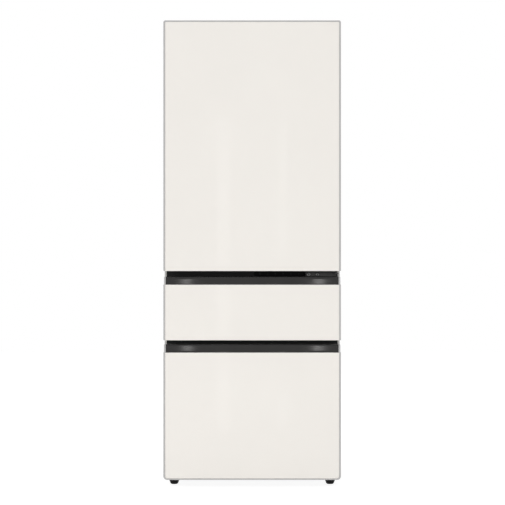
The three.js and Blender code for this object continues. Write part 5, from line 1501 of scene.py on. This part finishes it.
def fan_surface(centre, axis, radius, hub, depth, blades):
    """A fan: a hub with a blind bore, and blades that twist from steep at the hub to flat at the tip.

    On a blade the radius runs from the hub outwards and t across the chord; a point lies at the angle
    t times chord times cos(pitch) over radius, plus a sweep, and at the depth t times chord times sin(pitch).
    """
    thickness, sweep = 1.4, 0.35
    s = np.linspace(0, 1, 9)[:, None]
    t = np.linspace(-0.5, 0.5, 9)[None]
    r = (hub - 1) + s * (radius - hub + 1)
    pitch = np.radians(40 - 16 * s)
    chord = radius * (0.52 + 0.26 * s)
    flat_tip = np.minimum(1.0, (depth - 2) / (chord * np.sin(pitch)))
    camber = 0.10 * chord * (0.25 - t**2)
    turn = t * chord * np.cos(pitch) / r + sweep * s
    along = t * chord * np.sin(pitch) * flat_tip + camber * 0.6
    parts = []
    for i in range(blades):
        angle = turn + 2 * np.pi * i / blades
        face = np.stack([r * np.cos(angle), r * np.sin(angle), along + thickness / 2], axis=-1)
        back = face - np.array([0, 0, thickness])
        parts.append(sheet(face[..., ORDER[axis]], back[..., ORDER[axis]]))
    h = depth / 2
    floor = h - FAN_BORE_DEPTH
    shell = turned(
        [(0, -h), (hub - 3, -h), (hub - 0.8, -h + 0.8), (hub, -h + 3), (hub, h - 0.6), (hub - 0.6, h),
         (FAN_BORE, h), (FAN_BORE, floor), (0, floor)], axis=axis,
    )
    points, faces = merge(shell, *parts)
    return points + np.asarray(centre, float), faces


class REFRIGERATOR_OT_fans(Operator):
    """Cold air fan and condenser fan with twisted blades"""

    bl_idname = "refrigerator.fans"
    bl_label = "Fans"

    def execute(self, context):
        blades = sizes()["fan_blades"]
        for name, axis, radius, hub in FANS:
            along = "xyz".index(axis)
            extent = span(name)[along]
            centre = frame_joint(name + "_spin")
            centre[along] = extent.mean()
            wheel = fan_surface(centre, axis, radius, hub, extent[1] - extent[0], blades)
            add(name + "_wheel", wheel, name, "black_plastic", nodes=[name])
        return {"FINISHED"}


# How far the compressor's axis lies from its left end.
COMPRESSOR_MIDDLE = 105


class REFRIGERATOR_OT_machine(Operator):
    """Compressor with its weld seam, mounts and terminal cover, the fan's shroud, and the copper pipes"""

    bl_idname = "refrigerator.machine"
    bl_label = "Machine"

    def execute(self, context):
        x, y, z = span("compressor")
        middle = (x[0] + COMPRESSOR_MIDDLE, y.mean(), 0)
        foot = z[0] + 18.0
        r, h = 74.0, 165.0
        crown = foot + h
        t = np.linspace(0, np.pi / 2, 9)
        low = np.column_stack([r * np.sin(t), foot + 24 * (1 - np.cos(t))])
        high = np.column_stack([r * 0.985 * np.cos(t), crown - 46 + 46 * np.sin(t)])
        seam = [(r + out, foot + h * up) for out, up in
                ((0, 0.44), (0.8, 0.445), (2.4, 0.46), (2.4, 0.49), (0.8, 0.505), (-0.4, 0.51))]
        shell = turned(np.concatenate([low, seam, high]), middle, sides=64)
        base = (foot - 1.8, foot + 1.2)
        plate = slab(around(middle[0], 105), around(middle[1], 65), base, 14, 0.6, "z")
        box_end = x[1] - 1 if x[1] < middle[0] + r + 23 else middle[0] + r + 22
        box = slab((middle[0] + r * 0.7, box_end), around(middle[1], 26),
                   (foot + h * 0.25, foot + h * 0.62), 5, 2, "z")
        add("compressor_shell", merge(shell, plate), "cabinet", "black_paint", nodes=["compressor"])
        add("compressor_terminals", box, "cabinet", "black_paint", "black_plastic", ["compressor"])
        mounts = [
            turned(
                [(0, z[0]), (11.6, z[0]), (12, z[0] + 1), (10.6, z[0] + 5), (12, z[0] + 8), (10.6, z[0] + 11),
                 (12, z[0] + 14), (11, z[0] + 16.2), (0, z[0] + 16.2)],
                (middle[0] + sx * 87, middle[1] + sy * 47, 0), sides=24,
            )
            for sx in (-1, 1) for sy in (-1, 1)
        ]
        add("compressor_mounts", merge(*mounts), "cabinet", "black_paint", "black_plastic", ["compressor"])
        coil = span("condenser")
        outlet = middle[0] + 26
        top, side, inlet = z[1] - 4, y[0] + 8, coil[2][0] + 14
        pipe = rounded(
            [(outlet, middle[1], crown - 8), (outlet, middle[1], top), (outlet, side, top), (-6, side, top),
             (-6, side, inlet), (coil[0][0] + 3, side, inlet)],
            [0, 10, 10, 10, 10, 0], 6, closed=False,
        )
        add("discharge_pipe", tube(pipe, 3.2), "cabinet", "black_paint", "copper", ["compressor"])
        stub = turned(
            [(0, crown - 14), (6.4, crown - 14), (6, crown - 6), (4.6, crown + 2), (4.6, z[1] - 7),
             (0, z[1] - 7)],
            (outlet, middle[1], 0), sides=20,
        )
        add("compressor_stub", stub, "cabinet", "black_paint", "copper", ["compressor"])
        self.shroud()
        return {"FINISHED"}

    @staticmethod
    def shroud():
        """The shroud: a plate with a round mouth, a ring round the fan, and two arms that carry the motor."""
        x, y, z = span("fan_shroud")
        pin = frame_joint("condenser_fan_spin")
        near, far = x
        centre = (near, pin[1], pin[2])
        plate = slab(y, z, (near, near + 4), (0, 10, 10, 0), 0.6, "x")
        mouth = turned([(74, -2), (74, 8)], centre, "x", 64)
        made = add("shroud_plate", plate, "cabinet", "black_plastic", nodes=["fan_shroud"], cutters=[mouth])
        bevel(made, 0.4)
        ring = rounded([(73.9, 0.4), (77.4, 0.4), (77, 28), (74, 28)], 0.6)
        ring = turned(ring, centre, "x", 64, closed=True)
        reach, half, arm = 76, 6, (near + 26, near + 33)
        arms = [
            slab(around(pin[1], reach), around(pin[2], half), arm, 1, 0.8, "x"),
            slab(around(pin[1], half), around(pin[2], reach), arm, 1, 0.8, "x"),
        ]
        add("shroud_ring", merge(ring, *arms), "cabinet", "black_plastic", nodes=["fan_shroud"])
        shaft = turned([(0, 17), (2.6, 17), (3, 17.6), (3, 28), (0, 28)], centre, "x", 16)
        end = far - near
        motor = turned(
            [(0, 30), (24, 30), (26, 32), (26, end - 3), (23, end - 0.6), (8, end - 0.6), (7, end), (0, end)],
            centre, "x", 40,
        )
        add("fan_motor", merge(motor, shaft), "cabinet", "black_plastic", "screw_steel", ["fan_shroud"])


def coil_surfaces(node, count, rows_y, rows_z):
    """A finned coil: thin plates in a row along X, and the straight tubes that run through them."""
    x, y, z = span(node)
    fin, short = 0.3, 0.3
    first = np.linspace(x[0] + 6, x[1] - 6.3, count)
    low = np.column_stack([first, np.full(count, y[0] + short), np.full(count, z[0] + short)])
    high = low + (fin, y[1] - y[0] - 2 * short, z[1] - z[0] - 2 * short)
    tubes = []
    for j in range(rows_y):
        v = y[0] + (j + 0.5) * (y[1] - y[0]) / rows_y
        for k in range(rows_z):
            w = z[0] + (k + 0.5) * ((z[1] - z[0]) / rows_z)
            tubes.append(tube([(x[0] + 4.5, v, w), (x[1] - 4.5, v, w)], 3.6, 14))
    return blocks(low, high), merge(*tubes)


class REFRIGERATOR_OT_coils(Operator):
    """Evaporator behind the duct cover and condenser in the machine compartment"""

    bl_idname = "refrigerator.coils"
    bl_label = "Coils"

    def execute(self, context):
        count = sizes()["coil_fins"]
        for node, rows_y, rows_z in (("evaporator", 1, 3), ("condenser", 2, 2)):
            fins, tubes = coil_surfaces(node, count, rows_y, rows_z)
            add(node + "_fins", fins, "cabinet", "bright_aluminium", nodes=[node])
            add(node + "_tubes", tubes, "cabinet", "bright_aluminium", "copper", [node])
        return {"FINISHED"}


# ---------------------------------------------------------------- stage

# The pale bands that the front glass mirrors: middle, width, foot and head in metres. Then how far in front
# of the glass their lamps stand, and the lamps' power for each square metre.
BANDS = (
    (-0.108, 0.048, 0.835, 1.385),
    (-0.108, 0.048, 0.570, 0.755),
    (-0.108, 0.048, 0.215, 0.498),
    (0.114, 0.031, 0.870, 1.385),
    (0.114, 0.031, 0.225, 0.345),
)
BAND_DISTANCE = 1.9
BAND_GLOW = 3.3


class REFRIGERATOR_OT_stage(Operator):
    """Pale floor, white background, soft lamps and the camera"""

    bl_idname = "refrigerator.stage"
    bl_label = "Stage"

    def execute(self, context):
        stage = context.scene.refrigerator_stage
        context.scene.view_settings.view_transform = "Standard"
        self.world(context.scene, stage.room_light)
        self.floor(stage.floor_glow)
        self.lamps(stage.lamp_level)
        camera = bpy.data.cameras.new("camera")
        camera.sensor_width = 36.0
        camera.lens = stage.lens
        camera.clip_end = 60.0
        eye = bpy.data.objects.new("camera", camera)
        eye.location = stage.eye
        eye.rotation_euler = (math.radians(90), 0, 0)
        context.scene.collection.objects.link(eye)
        context.scene.camera = eye
        return {"FINISHED"}

    @staticmethod
    def join(tree, *pairs):
        """Links each pair's output to its input."""
        for source, target in pairs:
            tree.links.new(source, target)

    def seen_directly(self, tree):
        """1 for rays from the camera, off metal or through glass, 0 for the light that falls on things."""
        path = add_node(tree, "LightPath")
        either = add_node(tree, "Math", "MAXIMUM")
        any_of = add_node(tree, "Math", "MAXIMUM")
        self.join(
            tree,
            (path.outputs["Is Camera Ray"], either.inputs[0]),
            (path.outputs["Is Glossy Ray"], either.inputs[1]),
            (either.outputs[0], any_of.inputs[0]),
            (path.outputs["Is Transmission Ray"], any_of.inputs[1]),
        )
        return any_of.outputs[0]

    def mix(self, tree, share, falling, seen, output):
        """Gives an output one shader for the light that falls, and a share of another where it is seen."""
        mixed = add_node(tree, "MixShader")
        self.join(
            tree,
            (share, mixed.inputs["Fac"]),
            (falling.outputs[0], mixed.inputs[1]),
            (seen.outputs[0], mixed.inputs[2]),
            (mixed.outputs[0], tree.nodes[output].inputs["Surface"]),
        )

    def world(self, scene, level):
        """White where it is seen and an even plain light where it falls on the object."""
        world = bpy.data.worlds.new("studio")
        world.use_nodes = True
        tree = world.node_tree
        light = tree.nodes["Background"]
        light.inputs["Color"].default_value = (1, 1, 1, 1)
        light.inputs["Strength"].default_value = level
        seen = add_node(tree, "Background", Color=(1, 1, 1, 1), Strength=1.0)
        self.mix(tree, self.seen_directly(tree), light, seen, "World Output")
        scene.world = world

    def floor(self, glow):
        """A wide pale floor, mostly plain white where it is seen, so that only the shadow darkens it."""
        made = mesh_object("studio_floor", blocks((-9000, -9000, -40), (9000, 9000, -0.05)))
        paint = bpy.data.materials.new("studio_floor")
        paint.use_nodes = True
        tree = paint.node_tree
        matte = tree.nodes["Principled BSDF"]
        matte.inputs["Base Color"].default_value = (0.86, 0.86, 0.86, 1)
        matte.inputs["Roughness"].default_value = 0.9
        matte.inputs["Specular IOR Level"].default_value = 0.1
        white = add_node(tree, "Emission", Strength=1.25)
        share = add_node(tree, "Math", "MULTIPLY")
        share.inputs[1].default_value = glow
        self.join(tree, (self.seen_directly(tree), share.inputs[0]))
        self.mix(tree, share.outputs[0], matte, white, "Material Output")
        made.data.materials.append(paint)

    @staticmethod
    def bands():
        """Faint narrow lamps, which the camera sees mirrored in the front glass as pale bands.

        A lamp that stands d in front of the glass is mirrored d behind it, so its place and size are those of
        the band, drawn out from the camera by 1 + d / (distance from the camera to the glass).
        """
        eye = bpy.context.scene.refrigerator_stage.eye
        glass = span("upper_panel")[1][0] * MM
        reach = 1 + BAND_DISTANCE / (glass - eye[1])
        made = []
        for i, (x, width, low, high) in enumerate(BANDS):
            u, w = eye[0] + (x - eye[0]) * reach, eye[2] + ((low + high) / 2 - eye[2]) * reach
            size = (width * reach, (high - low) * reach)
            power = BAND_GLOW * size[0] * size[1]
            made.append((f"band_{i + 1}", (u, glass - BAND_DISTANCE, w), (u, 0, w), size, power, True))
        return made

    def lamps(self, level):
        """Large soft lamps all round, and narrow ones, which alone are mirrored in the strips and the glass.

        Each has its name, its place, what it aims at, its size, its power and whether it is mirrored.
        """
        soft = [
            ("front_left", (-3.6, -6.4, 1.7), (0, 0, 0.9), (2.8, 2.0), 180, False),
            ("front_right", (3.8, -6.2, 1.7), (0, 0, 0.9), (2.8, 2.0), 138, False),
            ("front_low", (0, -1.8, 0.15), (0, 0, 0.15), (2.4, 0.2), 3.8, False),
            ("overhead", (0, -2.0, 5.6), (0, 0, 0.9), (4.0, 4.0), 70, False),
            ("rear_left", (-3.8, 4.2, 2.6), (0, 0, 0.9), (2.4, 2.4), 190, False),
            ("rear_right", (3.4, 5.0, 2.2), (0, 0, 0.9), (2.4, 2.4), 55, False),
            ("strip_left", (-0.361, -2.86, 2.75), (-0.361, -0.36, 0.65), (0.035, 1.3), 1.3, True),
            ("strip_right", (0.364, -2.86, 2.75), (0.364, -0.36, 0.65), (0.040, 1.3), 1.6, True),
            *self.bands(),
        ]
        for name, where, aim, size, power, mirrored in soft:
            lamp = bpy.data.lights.new(name, "AREA")
            lamp.shape = "RECTANGLE"
            lamp.size, lamp.size_y = size
            lamp.energy = power * level
            made = bpy.data.objects.new(name, lamp)
            made.location = where
            made.rotation_euler = (Vector(aim) - Vector(where)).to_track_quat("-Z", "Y").to_euler()
            made.visible_camera = False
            made.visible_glossy = mirrored
            bpy.context.scene.collection.objects.link(made)


# ---------------------------------------------------------------- panel and registration

PIECE_OPERATORS = (
    REFRIGERATOR_OT_front_glass,
    REFRIGERATOR_OT_door_frame,
    REFRIGERATOR_OT_drawer_frames,
    REFRIGERATOR_OT_handle_strips,
    REFRIGERATOR_OT_seals,
    REFRIGERATOR_OT_case,
    REFRIGERATOR_OT_back_panel,
    REFRIGERATOR_OT_machine_cover,
    REFRIGERATOR_OT_feet_and_rollers,
    REFRIGERATOR_OT_hinges,
    REFRIGERATOR_OT_display,
    REFRIGERATOR_OT_linings,
    REFRIGERATOR_OT_shelves,
    REFRIGERATOR_OT_duct_cover,
    REFRIGERATOR_OT_lamp,
    REFRIGERATOR_OT_door_lining,
    REFRIGERATOR_OT_door_bins,
    REFRIGERATOR_OT_slides,
    REFRIGERATOR_OT_baskets,
    REFRIGERATOR_OT_containers,
    REFRIGERATOR_OT_lids,
    REFRIGERATOR_OT_fans,
    REFRIGERATOR_OT_machine,
    REFRIGERATOR_OT_coils,
    REFRIGERATOR_OT_stage,
)


class REFRIGERATOR_PT_build(Panel):
    """The refrigerator's sizes, colours and operators"""

    bl_idname = "REFRIGERATOR_PT_build"
    bl_label = "Refrigerator"
    bl_space_type = "VIEW_3D"
    bl_region_type = "UI"
    bl_category = "Refrigerator"

    def draw(self, context):
        layout = self.layout
        scene = context.scene
        for group in (scene.refrigerator_sizes, scene.refrigerator_colours, scene.refrigerator_stage):
            box = layout.box()
            for name in group.__annotations__:
                box.prop(group, name)
        column = layout.column(align=True)
        for operator in PIECE_OPERATORS:
            column.operator(operator.bl_idname)


GROUPS = {
    "refrigerator_sizes": RefrigeratorSizes,
    "refrigerator_colours": RefrigeratorColours,
    "refrigerator_stage": RefrigeratorStage,
}


def register():
    """Registers the classes and gives the scene its settings."""
    for each in (*GROUPS.values(), *PIECE_OPERATORS, REFRIGERATOR_PT_build):
        bpy.utils.register_class(each)
    for name, group in GROUPS.items():
        setattr(bpy.types.Scene, name, PointerProperty(type=group))


def unregister():
    """Takes the settings and the classes away again."""
    for name in GROUPS:
        delattr(bpy.types.Scene, name)
    for each in reversed((*GROUPS.values(), *PIECE_OPERATORS, REFRIGERATOR_PT_build)):
        bpy.utils.unregister_class(each)


def main():
    """Builds every piece and the stage."""
    register()
    for operator in PIECE_OPERATORS:
        group, name = operator.bl_idname.split(".")
        getattr(getattr(bpy.ops, group), name)()


if __name__ == "__main__":
    main()
